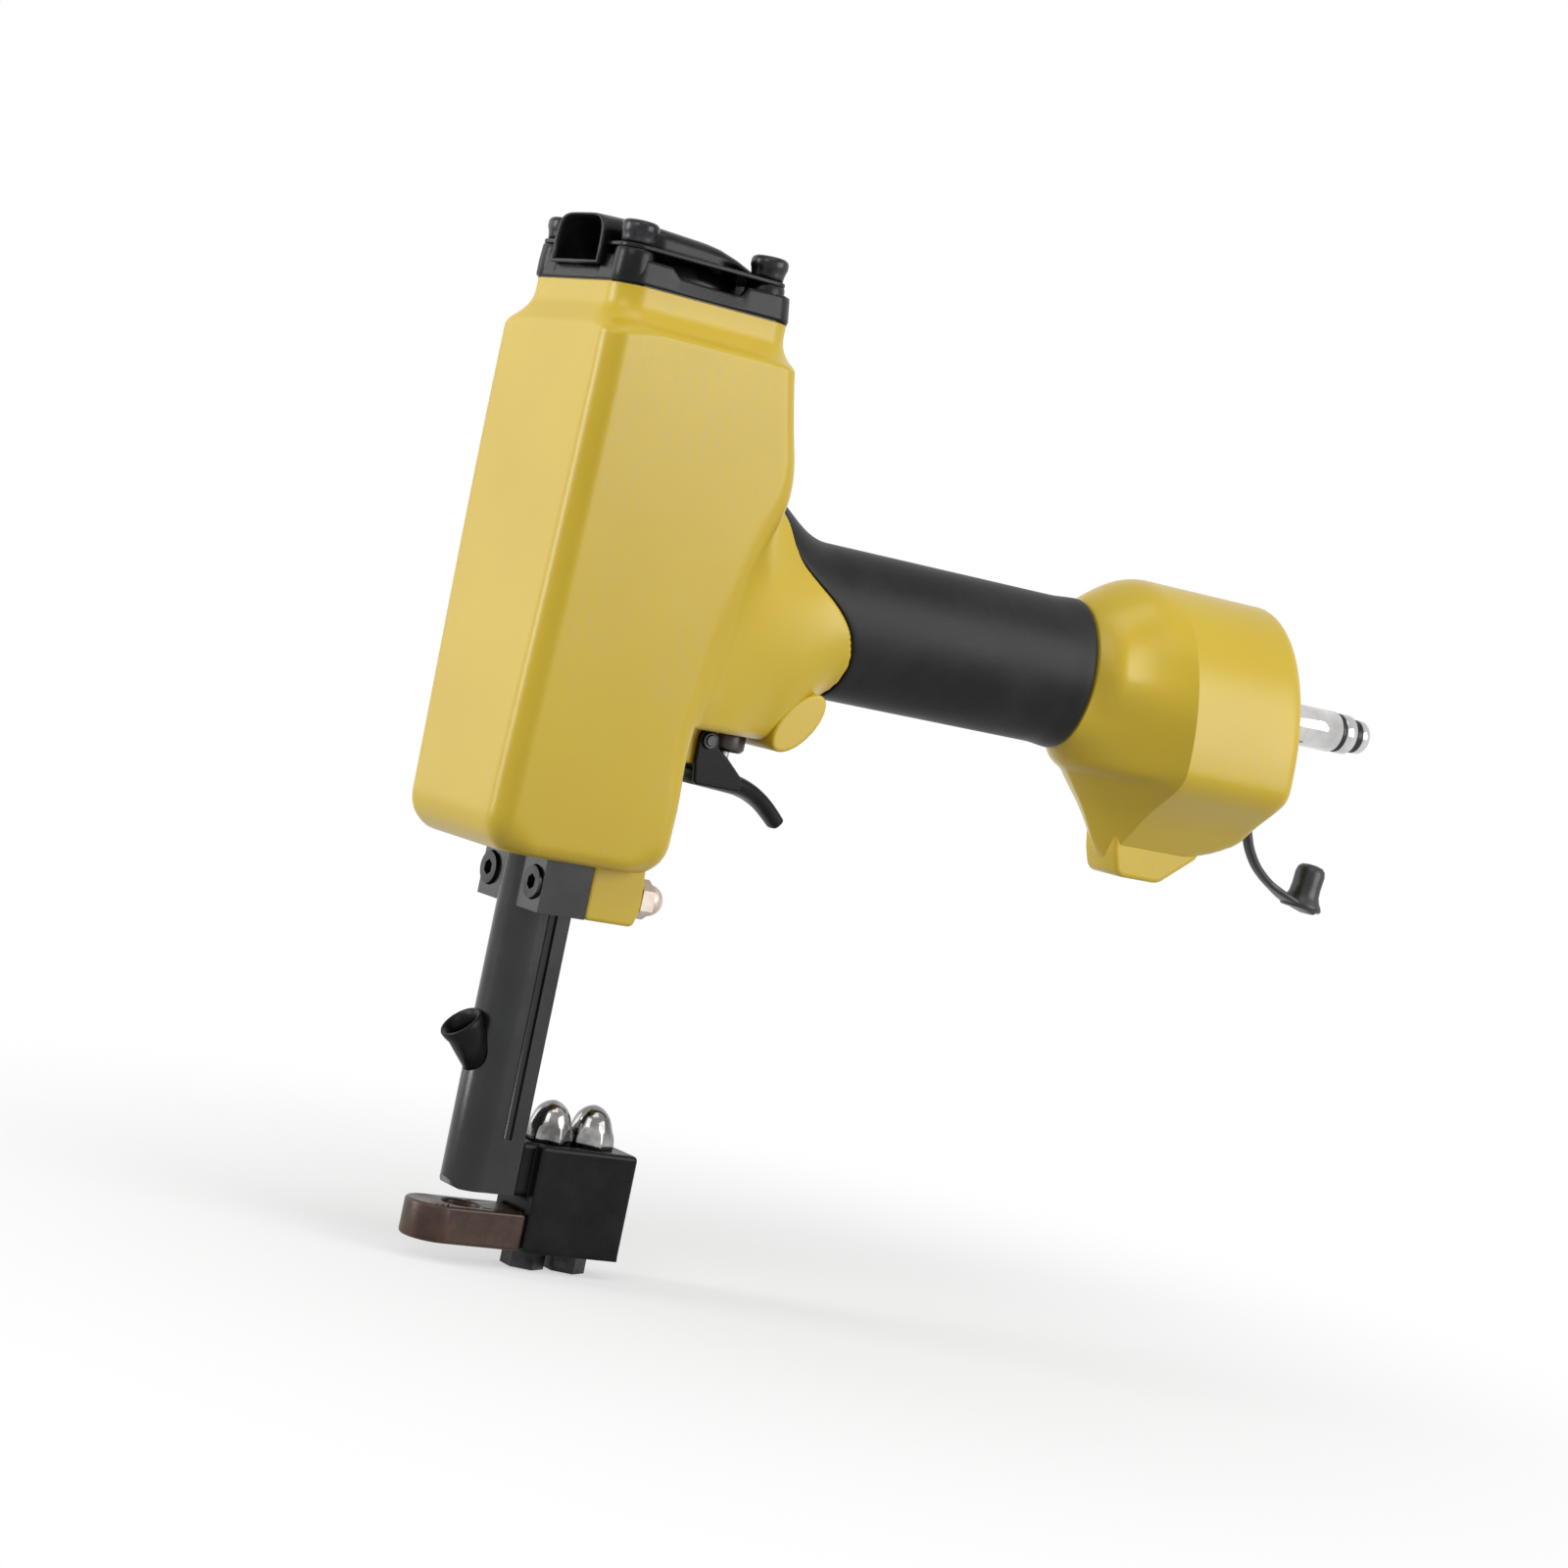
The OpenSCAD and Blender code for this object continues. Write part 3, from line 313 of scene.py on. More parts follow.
def root_distance(x, y, z):
    """The handle and its root: an ellipse that widens by up to 11 from the rubber's edge to the body, and
    whose lower half grows to nearly three times its depth, cut flat underneath."""
    flare = np.clip((grip_edge(z) - x) / (grip_edge(z) - 33), 0, 1)
    wide = GRIP_A + 11 * flare**1.5 * ease((214 - z) / 26)
    low = GRIP_B * (1 + ease((81 - x) / 20) + 0.9 * ease((60 - x) / 20))
    high = GRIP_B + root_top(x)
    shape = ellipse_distance(y / wide, (z - GRIP_Z) / np.where(z < GRIP_Z, low, high), 1, 1) * wide
    shape = round_cut(shape, 140.3 - z, 2.5)
    return np.maximum(shape, 18 - x)


def tank_distance(x, y, z):
    """The tank's section: half an ellipse over straight sides, and an underside that draws in to the foot.
    The distance to a side that leans is the level one over the root of 1 + slope squared."""
    width = soft_table(z, [123, 129.6, 141.5, 151.7, 154], [2, 7.8, 18.7, 32.4, HALF_WIDTH], 3.6)
    slope = np.interp(z, [129, 133, 149, 153], [0.92, 1, 1.3, 0])
    under = (np.abs(y) - width) / np.sqrt(1 + slope**2)
    over = ellipse_distance(y, z - 160, HALF_WIDTH, 51.5)
    section = np.where(z > 160, over, under)
    keel = np.interp(x, [199, 226, 235, 243], [124, 128.8, 132.4, 138])
    return round_cut(section, keel - z, 2.0)


def rear_distance(x, y, z):
    """From the grip's end to the tank: (1 - s) handle + s tank, where s runs from 0 to 1 at the crease. It
    rises as a sine at the top, as a quick bulge and then a slow curve on the sides, and evenly at the
    bottom."""
    t = np.clip((x - GRIP_END) / (CREASE - GRIP_END), 0, 1)
    top = np.sin(np.pi / 2 * np.minimum(t / 0.8, 1))
    bulge = 0.4 * np.sin(np.pi / 2 * np.minimum(t / 0.27, 1)) + 0.6 * t**2.2
    side = 0.28 * t + 0.72 * t**2
    side = side + (bulge - side) * ease((z - 166) / 16)
    s = side + (top - side) * ease((z - 184) / 25)
    s = s + (t - s) * ease((166 - z) / 24)
    grip = ellipse_distance(y, z - GRIP_Z, GRIP_A, GRIP_B)
    shape = (1 - s) * grip + s * tank_distance(x, y, z)
    return round_cut(shape, x - TANK_REAR, 5.0)


def housing_distance(x, y, z):
    """Body and handle line with a fillet of 9 between them, smaller at the body's flat sides and low down.
    The root stays inside those flat sides, and the whole is drawn in where the rubber covers it."""
    line = np.where(x < GRIP_END, root_distance(x, y, z), rear_distance(x, y, z))
    near_side = ease((np.abs(y) - body_half(z) + 10) / 8) * ease((200 - z) / 14)
    radius = (9.0 - 5.5 * near_side) * (0.15 + 0.85 * ease((z - 138) / 14))
    both = fillet_join(body_distance(x, y, z), line, radius)
    both = np.maximum(both, np.where(x < 60, np.abs(y) - body_half(z), -99))
    covered = ease((x - grip_edge(z) + 0.8) / 0.8) * ease((GRIP_END + 0.4 - x) / 0.5)
    return both + SEAT_DEPTH * covered


print("the rubber's edge at three heights:", [round(float(grip_edge(z)), 1) for z in (155, 168, 200)])

# %% [markdown]
# ## Scanning the casting
# The body is scanned from its upright axis and the handle from its long axis. Both scans read the same
# blended volume, so the two skins meet without a seam. Where they overlap, at x = 51.2, each dips a little
# under the other.

# %% Scan the body
# Where the two skins meet, how deep each dips under the other, and the axis of the level rays.
MEETING = 51.2
DIP = 0.3
BODY_AXIS = 4
# The chamber's floor, and the radii of the hole in it and of the chamber.
CHAMBER_FLOOR = 103.0
DRIVER_R = 11.1
CYLINDER_R = 21.8


def scan_body():
    """Rings at rising heights round the axis x = 4. Each point is where a level ray leaves the housing.
    Then the skin turns in over the neck and down the cylinder's bore to the chamber floor. The first
    heights follow the foot's round edge: low + 4.5 (1 - cos)."""
    foot = BODY_LOW + 4.5 * (1 - np.cos(np.linspace(0.1, np.pi / 2, 9)))
    z = np.concatenate([foot, np.arange(104, 137, 2.5), np.arange(138, 144, 0.35), np.arange(144.5, 197, 1.6),
                        np.arange(197.5, 216, 0.7), np.arange(217, 241, 1.8), np.arange(241.5, 251.5, 0.22),
                        [252.5, 254, 255.2, 255.9, 256.18]])
    turn = np.linspace(0, 2 * np.pi, 330, endpoint=False)
    turn = turn + 0.1 * np.sin(4 * turn)
    zz, tt = np.meshgrid(z, turn, indexing="ij")
    start = np.stack([BODY_AXIS + 0 * zz, 0 * zz, zz], -1)
    way = np.stack([np.cos(tt), np.sin(tt), 0 * tt], -1)

    def field(x, y, z):
        dip = DIP * ease((x - MEETING) / 4)
        return np.maximum(housing_distance(x, y, z) + dip, x - 56.5)

    outer = trace(field, start, way, 70)
    circle = np.stack([np.cos(turn), np.sin(turn), 0 * turn], -1)
    at = lambda r, h: circle * [r, r, 0] + [0, 0, h]
    low = outer[0] * [1, 1, 0] + [0, 0, BODY_LOW]
    rings = [at(DRIVER_R, CHAMBER_FLOOR), at(DRIVER_R, BODY_LOW), low * [0.8, 0.8, 1], low, *outer,
             at(CYLINDER_R + 0.5, NECK_TOP), at(CYLINDER_R, NECK_TOP - 0.5), at(CYLINDER_R, 150),
             at(CYLINDER_R, CHAMBER_FLOOR)]
    return skin(np.array(rings), ends="ring")


body_skin = scan_body()
print("body:", len(body_skin[1]), "faces")

# %% [markdown]
# The handle's rings stand square to x. They are closest at the root, where the fillet bends fast, at the
# rubber's rear end and at the crease. At the tank's rear face the skin turns in to the seat of the round
# cover.

# %% Scan the handle line
COVER_R = 21.2
COVER_DEPTH = 4.1


def scan_handle():
    """Rings along x, from inside the body to the tank's rear face, where the skin turns in to the cover's
    seat. The last places follow the rear edge's round: rear - 5 (1 - sin)."""
    edge = TANK_REAR - 5 * (1 - np.sin(np.linspace(0.05, np.pi / 2 - 0.06, 10)))
    x = np.concatenate([np.arange(47, 86, 0.7), np.arange(88, 166, 6), np.arange(168.6, 172, 0.25),
                        np.arange(172.5, 198.6, 0.9), [198.7, 198.95, 199.0, 199.1, 199.5],
                        np.arange(201, 237, 2.2), edge])
    turn = np.linspace(0, 2 * np.pi, 260, endpoint=False)
    xx, tt = np.meshgrid(x, turn, indexing="ij")
    centre = np.interp(xx, [47, 66, 84, 168, 200, 243], [172, 172, 178, 178, 170, 172])
    start = np.stack([xx, 0 * xx, centre], -1)
    way = np.stack([0 * xx, np.cos(tt), np.sin(tt)], -1)

    def field(x, y, z):
        return housing_distance(x, y, z) + DIP * ease((MEETING - x) / 4)

    outer = trace(field, start, way, 60)
    circle = np.stack([0 * turn, np.cos(turn), np.sin(turn)], -1)
    at = lambda x, r: circle * r + [x, 0, GRIP_Z]
    seat = TANK_REAR - COVER_DEPTH
    rings = [*outer, at(TANK_REAR, COVER_R + 0.4), at(TANK_REAR - 0.4, COVER_R), at(seat, COVER_R),
             at(seat, 13), at(215, 13)]
    return skin(np.array(rings))


handle_skin = scan_handle()
print("handle line:", len(handle_skin[1]), "faces")

# %% [markdown]
# ## Ribs and lugs of the casting
# The small flat-sided parts of the casting are outlines carried across the tool: the rib under the tank,
# the lug that takes the nose screws, the lug of the trigger pin and the round stop above the finger. Each
# corner is an arc and each rim is rounded, because no sharp edge survives the mould and the paint.

# %% Outlines and plates
def corner_loop(points, radii, steps=7):
    """A closed outline with round corners. radii: one for all corners or one each. Every corner becomes an
    arc that starts and ends where a circle of its radius touches the two sides, r / tan(half the angle)
    away, and the arc's points are its two ends mixed by sines."""
    points = np.array(points, float)
    radii = np.broadcast_to(radii, len(points))
    loop = []
    for p, before, after, r in zip(points, np.roll(points, 1, 0), np.roll(points, -1, 0), radii):
        u, v = before - p, after - p
        u, v = u / np.linalg.norm(u), v / np.linalg.norm(v)
        half = np.arccos(np.clip(u @ v, -1, 1)) / 2
        reach = r / np.tan(half)
        middle = p + (u + v) / max(np.linalg.norm(u + v), 1e-9) * r / np.sin(half)
        a, b = p + u * reach - middle, p + v * reach - middle
        t = np.linspace(0, 1, steps)[:, None]
        sweep = np.pi - 2 * half
        arc = np.sin((1 - t) * sweep) * a + np.sin(t * sweep) * b
        loop.append(middle + arc / max(np.sin(sweep), 1e-9))
    return np.vstack(loop)


def slab(loop, low, high, edge, along="y", steps=5):
    """An outline carried straight along an axis, with its two rims rounded: near each end the loop steps in
    along its own normals by edge (1 - sin) while it rises by edge (1 - cos). A last ring 0.4 further in
    keeps the end faces flat where the light falls on them."""
    side = np.roll(loop, -1, 0) - np.roll(loop, 1, 0)
    normal = np.stack([side[:, 1], -side[:, 0]], -1)
    normal /= np.maximum(np.linalg.norm(normal, axis=1, keepdims=True), 1e-9)
    x, y = loop.T
    if (x * np.roll(y, -1) - y * np.roll(x, -1)).sum() < 0:
        normal = -normal
    bend = np.linspace(0, np.pi / 2, steps)
    inset = np.concatenate([[edge + 0.4], edge * (1 - np.sin(bend))])
    rise = np.concatenate([[0], edge * (1 - np.cos(bend))])
    h = np.concatenate([low + rise, high - rise[::-1]])
    inset = np.concatenate([inset, inset[::-1]])
    flat = loop[None] - normal[None] * inset[:, None, None]
    h = np.broadcast_to(h[:, None], flat.shape[:2])
    a, b = flat[..., 0], flat[..., 1]
    rings = {"x": [h, a, b], "y": [a, h, b], "z": [a, b, h]}[along]
    return skin(np.stack(rings, -1))


square = corner_loop([(0, 0), (4, 0), (4, 4), (0, 4)], 1)
print("a square with 1 mm corners has", len(square), "points and reaches", square.max(0).round(3).tolist())

# %% The lugs, and the housing put together
foot_rib = corner_loop([(196, 136), (197.6, 127), (200.2, 120), (217, 120), (230, 129.6), (232, 136)],
                       [2, 5, 4, 6, 3, 2])
nose_lug = corner_loop([(10.2, 81.7), (26.4, 81.7), (28.0, 88), (26.6, 104), (10.2, 104)],
                       [1.5, 2, 6, 1.5, 1.5])
pin_lug = corner_loop([(32, 130), (42.5, 129.8), (49.5, 136), (49.5, 143), (32, 143)],
                      [1.5, 3, 3, 1.5, 1.5])

# The finger stop is an ellipse about (70.4, 147.4) whose long half leans 52 degrees up to the rear.
STOP_COS, STOP_SIN = 0.62, 0.785
turn = np.linspace(0, 2 * np.pi, 72, endpoint=False)
far, near = 11.0 * np.cos(turn), 5.4 * np.sin(turn)
stop = np.stack([70.4 + STOP_COS * far - STOP_SIN * near, 147.4 + STOP_SIN * far + STOP_COS * near], -1)

# Each outline with half its width across the tool and the radius of its rims.
lug_data = ((foot_rib, 8, 1.2), (nose_lug, 18, 1.0), (pin_lug, 5, 0.8), (stop, 13.4, 0.8))
lugs = [slab(loop, -half, half, edge) for loop, half, edge in lug_data]
housing = put_mesh("housing_casting", [body_skin, handle_skin, *lugs], "tool",
                   covers=["housing"])

# %% [markdown]
# ## The rubber grip
# The grip is a moulded sleeve pushed over the handle. Its front edge runs in an S round the root, and its
# upper lip climbs the fillet behind the body. The grid runs round the sleeve and along it, and only the
# start of each line moves, so the S is exact and the rest stays an even ellipse.

# %% Grip
# Above the bow the lip runs on to its top corner at (51.7, 204.7), and from there steeply up.
LIP_Z = BOW_Z + [193.8, 204.7, 304.7]
LIP_X = BOW_X + [58.8, 51.7, 71.7]
SLEEVE_END = 169.5


def grip_skin():
    """Rings from the hidden inside of the front lip, round its rim, back along the outside and in at the
    rear."""
    turn = np.linspace(0, 2 * np.pi, 220, endpoint=False)
    up = np.sin(turn) > 0

    def ring(shift, part, proud):
        """One ring shift behind the lip, at the given part of the way to the rear end and proud of the
        ellipse. Its height decides its place and its place its height, so both are found by going round in
        turns."""
        z = GRIP_Z + GRIP_B * np.sin(turn)
        for _ in range(12):
            lip = soft_table(z, LIP_Z, LIP_X, 3)
            x = lip + shift + (SLEEVE_END - lip) * part
            high = GRIP_B + proud + np.where(up, root_top(x), 0)
            z = 0.5 * z + 0.5 * (GRIP_Z + high * np.sin(turn))
        return np.stack([x, (GRIP_A + proud) * np.cos(turn), z], -1)

    roll = np.linspace(0, np.pi / 2, 5)
    lip = [ring(4, 0, -1.4), ring(0.5, 0, -1.3)]
    lip += [ring(0.8 * (1 - np.cos(a)), 0, -0.7 + 0.8 * np.sin(a)) for a in roll]
    body = [ring(0, t, 0.1 + 0.7 * ease((t - 0.9) / 0.1)) for t in np.linspace(0.03, 0.985, 60)]
    rear = [ring(0, 0.985 + 0.015 * np.sin(a), 0.8 - 0.9 * (1 - np.cos(a))) for a in roll[1:]]
    inside = [ring(0, t, -1.5) for t in np.linspace(1, 0.06, 40)]
    return skin(np.array(lip + body + rear + inside), ends="ring")


grip = put_mesh("grip_rubber", [grip_skin()], "tool", covers=["grip_sleeve"])

# %% [markdown]
# ## The black cap
# The cap is a shallow cast box with a post for a screw in each corner. Its walls are cut down where the
# exhaust air leaves, so one grid follows the wall round, and the height of its rim is a function of the
# place on the wall.

# %% Cap
CAP_LOW = 256.7
CAP_FLOOR = 260.5
POST_TOP = 266.2
WALL_TOP = 264.0

# The four posts stand at the corners of a rectangle about x = 2.9.
posts = [(2.9 + 21.4 * along, 21.0 * across, 0) for along in (-1, 1) for across in (-1, 1)]


def cap_rim(x, y):
    """Height of the wall's rim: along the sides it dips between the posts, in front it drops to the floor,
    and behind it rises to the plate."""
    side = np.interp(x, [-15, -9.7, -6.5, 11.4, 14.8, 16.8, 25.6],
                     [263.7, 263.6, 261.1, 260.7, 261.1, 263.7, 264.1])
    front = np.interp(y, [-12.6, -11.9, 13.0, 13.7], [WALL_TOP, 260.7, 260.7, WALL_TOP])
    back = np.interp(np.abs(y), [17, 18], [267.3, WALL_TOP])
    return np.where(np.abs(y) > 26.5, side, np.where(x < -18, front, back))


def cap_wall():
    """Rings up the outside of the wall, over its rounded rim, down the inside and across the floor. The
    outline is a rounded rectangle whose radius is found along rays from the middle."""
    turn = np.linspace(0, 2 * np.pi, 720, endpoint=False)
    way = np.stack([np.cos(turn), np.sin(turn), 0 * turn], -1)
    middle = np.array([CAP_X, 0, 0.0])

    def outline(inset):
        wall = lambda x, y, z: round_box_distance(x - CAP_X, y, CAP_HALF_X - inset, CAP_HALF_Y - inset,
                                                  7.5 - 0.6 * inset)
        return trace(wall, np.broadcast_to(middle, way.shape), way, 45)

    outer, lean, inner = outline(0), outline(0.8), outline(2.4)
    rim = cap_rim(outer[:, 0], outer[:, 1])
    low = 0 * rim + CAP_LOW
    floor = 0 * rim + CAP_FLOOR
    mix = lambda a, b, t, z: (a * (1 - t) + b * t) * [1, 1, 0] + np.stack([0 * z, 0 * z, z], -1)
    rings = [mix(outer, inner, 1, low), mix(outer, inner, 0.15, low), mix(outer, inner, 0, low + 0.35)]
    rings += [mix(outer, lean, t, CAP_LOW + 0.35 + (rim - 0.7 - CAP_LOW) * t) for t in np.linspace(0.1, 1, 8)]
    rings += [mix(lean, inner, t, rim - drop) for t, drop in ((0.15, 0.1), (0.4, 0), (0.8, 0.05), (1, 0.4))]
    rings += [mix(lean, inner, 1, floor), mix(middle, inner, 0.9, floor)]
    return skin(np.array(rings))


# A corner post is a round column with a cast foot, drawn in a little under the deflector's plate. The core
# is the round tower in the middle that holds the head valve.
post_profile = [(3, CAP_LOW), (5.6, CAP_LOW), (5.9, CAP_LOW + 0.4), (5.9, 261), (5.7, 264), (5.6, 265.6),
                (5.2, POST_TOP), (2, POST_TOP)]
core_profile = [(12, CAP_FLOOR - 1), (20.5, CAP_FLOOR - 1), (20.0, 262), (19.4, 265.8), (12, 266.0)]
cap_skins = [cap_wall(), lathe(core_profile, (CAP_X, 0, 0)), *[lathe(post_profile, at) for at in posts]]
cap = put_mesh("cap_casting", cap_skins, "tool", covers=["cylinder_cap"])

# %% [markdown]
# ## The deflector on the cap
# The deflector is a pressed plate with a thin hood, open to the front, that turns the spent air away from
# the user. The hood runs out into the plate at the back, so its rings shrink towards the tail.

# %% Deflector
HOOD_X = [-26, -18, -5.7, 8, 13, 19, 25.4, 29.5]
HOOD_Z = [274.7, 275.1, 275.0, 274.4, 273.8, 272.2, 269.6, 267.4]
MOUTH_X = -25.2
HOOD_WALL = 1.7
PLATE_TOP = 267.4


def hood():
    """Rings of a rounded D across the tool: over the outside from the tail to the mouth, round the mouth's
    lip, and back inside to a blind end. The D is |y / w|^5 + |z / h|^5 = 1, and in front it reaches down to
    the cap's floor."""
    turn = np.linspace(0, np.pi, 40)
    across = np.sign(np.cos(turn)) * np.abs(np.cos(turn)) ** 0.4
    upward = np.abs(np.sin(turn)) ** 0.4

    def section(x, thin):
        half = np.interp(x, [-24, -10, -7, 12, 29], [13.8, 13.8, 15, 15, 13]) - thin
        roof = np.interp(x, HOOD_X, HOOD_Z)
        low = np.interp(x, [-12, -10], [CAP_FLOOR + 0.1, 266.8])
        high = np.maximum(roof - low - thin, 0.4)
        return np.stack([0 * turn + x, half * across, low + thin * 0.6 + high * upward], -1)

    there = np.concatenate([np.linspace(29, -7, 26), np.linspace(-9, MOUTH_X, 12)])
    roll = (0.4, 0.8, 1.2, 1.57, 1.9, 2.3, 2.7)
    back = np.concatenate([np.linspace(-25.0, -9, 12), np.linspace(-7, 12, 12)])
    rings = [section(x, 0.0) for x in there]
    rings += [section(MOUTH_X - 0.5 * np.sin(a), 0.8 - 0.8 * np.cos(a)) for a in roll]
    rings += [section(x, HOOD_WALL) for x in back]
    return skin(np.array(rings))


# The plate is notched in front, where the hood comes down.
plate_loop = corner_loop([(-23.9, -26.4), (29.7, -26.4), (29.7, 26.4), (-23.9, 26.4), (-23.9, 13.0),
                          (-9, 13.0), (-9, -13.0), (-23.9, -13.0)], [5.4, 5.4, 5.4, 5.4, 0.8, 1, 1, 0.8])
plate = slab(plate_loop, POST_TOP, PLATE_TOP, 0.3, "z", 4)
deflector = put_mesh("deflector_hood", [plate, hood()], "tool", covers=["exhaust_deflector"])

# %% [markdown]
# ## Cap screws
# The four long screws have tall heads with a socket. Head and socket are one turned skin, from the shank's
# end up round the head and down into the socket.

# %% Cap screws
screw_profile = [(2.5, 250), (2.5, 267.5), (4.6, 267.5), (4.7, 268.8), (5.0, 270.2), (5.35, 271.0),
                 (5.35, 272.6), (5.0, 273.4), (4.2, 273.9), (2.8, 274.0), (2.4, 273.6), (2.3, 271.2)]
screw_skins = [lathe(screw_profile, at) for at in posts]
screws = put_mesh("cap_screw_heads", screw_skins, "tool", covers=["cap_screws"])

# %% [markdown]
# ## Trigger
# The lever is a small forging: flat and wide under its pin, then narrowing to a finger that droops. One
# grid carries a rounded section along the lever's own line. The two ears are plates that hold the pin.

# %% Bars along a bent line
def bent_bar(line, size, reach, tip, power, stations, around):
    """Sections square to a bent line in the plane y = 0. A section is |a / h|^n + |b / w|^n = 1 with n = 2
    / power. size(s, place) gives its half height h and half width w at the distances s, where place is how
    far along each corner of the line lies. Both shrink at the two ends like a circle of radius tip."""
    line = np.array(line, float)
    place = np.concatenate([[0], np.cumsum(np.hypot(*np.diff(line, axis=0).T))])
    s = np.linspace(0, place[-1], stations)
    x, z = (soft_table(s, place, values, reach) for values in line.T)
    high, wide = size(s, place)
    to_end = np.minimum(s, place[-1] - s)
    ends = np.sqrt(np.clip(1 - (1 - to_end / tip).clip(0) ** 2, 0.002, 1))
    slope = np.stack([np.gradient(x), np.gradient(z)], -1)
    slope /= np.linalg.norm(slope, axis=1, keepdims=True)
    turn = np.linspace(0, 2 * np.pi, around, endpoint=False)
    up, out = (np.sign(f) * np.abs(f) ** power for f in (np.cos(turn), np.sin(turn)))
    a = (high * ends)[:, None] * up
    b = (wide * ends)[:, None] * out
    return skin(np.stack([x[:, None] - slope[:, 1:] * a, b, z[:, None] + slope[:, :1] * a], -1))


# %% Trigger
lever_line = [(42.8, 126.3), (50, 126.6), (57.5, 126.4), (63.5, 125.6), (69, 123.6), (73.6, 120.7),
              (77.8, 117.0), (79.2, 115.9)]
lever_high = [2.2, 2.9, 3.1, 2.7, 2.4, 2.3, 2.2, 2.1]
lever_wide = [6.6, 7.0, 6.6, 5.2, 3.8, 3.2, 3.0, 2.8]
lever = bent_bar(lever_line, lambda s, place: [soft_table(s, place, v, 3) for v in (lever_high, lever_wide)],
                 3, 2.0, 2 / 3, 80, 48)
ear_loop = corner_loop([(43.4, 124.3), (59.5, 124.3), (58.8, 128.4), (52.6, 133.6), (49.0, 135.8),
                        (48.9, 140.7), (42.1, 140.7), (42.2, 131.0)], [1.2, 1.2, 2.5, 3, 2, 3.2, 3.2, 4])
ears = [slab(ear_loop, low, low + 1.8, 0.5) for low in (5.3, -7.1)]
trigger = put_mesh("trigger_lever", [lever, *ears], "trigger", covers=["trigger"])

# %% [markdown]
# ## Spout and air plug
# Both are turned shapes. The spout's mouth is countersunk so that a nail finds its way in, and its root
# ends on an upright plane, clear of the driver. The plug is a quarter-inch nipple with a collar and a
# locking groove.

# %% Spout
SPOUT_LEAN = math.radians(43)
SPOUT_FOOT = 33.6


def spout_skin():
    """Circles of radius r at the height h along a line that leans 43 degrees forward. The first two and the
    last end on an upright plane in front of the driver: h is at least (plane + r cos(turn) cos 43) / sin 43
    there. Each row gives r, h and the plane."""
    rings = np.array([(3.4, 0, 5.0), (5.7, 0, 5.0), (5.7, 14.0, -9), (6.2, 15.5, -9), (6.4, 17.2, -9),
                      (6.1, 17.7, -9), (5.6, 17.6, -9), (4.4, 16.2, -9), (3.4, 13.8, -9), (3.3, 0, 5.6)])
    radius, height, plane = rings.T[:, :, None]
    turn = np.linspace(0, 2 * np.pi, 56, endpoint=False)
    sine, cosine = math.sin(SPOUT_LEAN), math.cos(SPOUT_LEAN)
    along = np.maximum(height, (plane + radius * np.cos(turn) * cosine) / sine)
    x = radius * np.cos(turn) * cosine - along * sine
    z = SPOUT_FOOT + radius * np.cos(turn) * sine + along * cosine
    return skin(np.stack([x, radius * np.sin(turn) + 0 * along, z], -1))


spout = put_mesh("nail_spout", [spout_skin()], "tool", covers=["feed_spout"])

# %% Air plug
HANDLE_LINE = (0, 0, GRIP_Z)
BACKWARD = (1, 0, 0)
plug_profile = [(5, 236), (6.4, 236), (6.4, 262), (6.6, 262.4), (6.6, 279.2), (6.3, 279.8), (5.9, 280.2),
                (5.9, 281.2), (6.3, 281.6), (6.4, 285.6), (6.0, 286.2), (4.9, 287.0), (4.8, 288.4),
                (5.4, 289.2), (5.4, 291.6), (5.0, 292.3), (4.0, 292.4), (3.7, 291.8), (3.6, 270)]
plug = put_mesh("air_nipple", [lathe(plug_profile, HANDLE_LINE, BACKWARD, 64)], "tool",
                covers=["air_plug"])

# %% [markdown]
# ## Dust cap
# A rubber ring grips the plug, and a flat strap carries the stopper that closes the plug in the tool box.
# All three come out of one mould. The strap hangs by its own weight and grows thicker and wider towards the
# stopper.

# %% Dust cap
strap_line = [(248.2, 168.1), (251, 152), (254.4, 140), (258, 133.4), (264, 128), (272, 124), (280, 121.2),
              (287.6, 119.3)]
strap = bent_bar(strap_line, lambda s, place: (1.15, 1.9 + 2.6 * ease((s - place[-1] + 22) / 12)),
                 4, 1.2, 0.6, 90, 32)
ring_profile = [(6.75, 243.4), (6.75, 248.5), (7.2, 249), (10.4, 249), (11, 248.4), (11, 243.9),
                (10.6, 243.4), (6.75, 243.4)]
ring = lathe(ring_profile, HANDLE_LINE, BACKWARD, 64)
stopper_profile = [(3, -0.9), (6.4, -0.9), (6.9, -0.2), (6.6, 0.8), (5.7, 2.2), (5.0, 4.0), (4.8, 6.5),
                   (4.9, 10.6), (4.5, 12.4), (3.5, 13.4), (1.6, 13.8)]
stopper = lathe(stopper_profile, (282.6, 0, 120.9), (0.12, 0, 1))
dust_cap = put_mesh("plug_dust_cap", [strap, stopper, ring], "tool", covers=["dust_cap"])

# %% [markdown]
# ## Cap nuts of the foot
# A cap nut is a hexagon that runs into a dome. One grid makes it: the radius falls with the height by the
# curve of the dome, and low down it is shaped round the six flats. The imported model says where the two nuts
# sit.

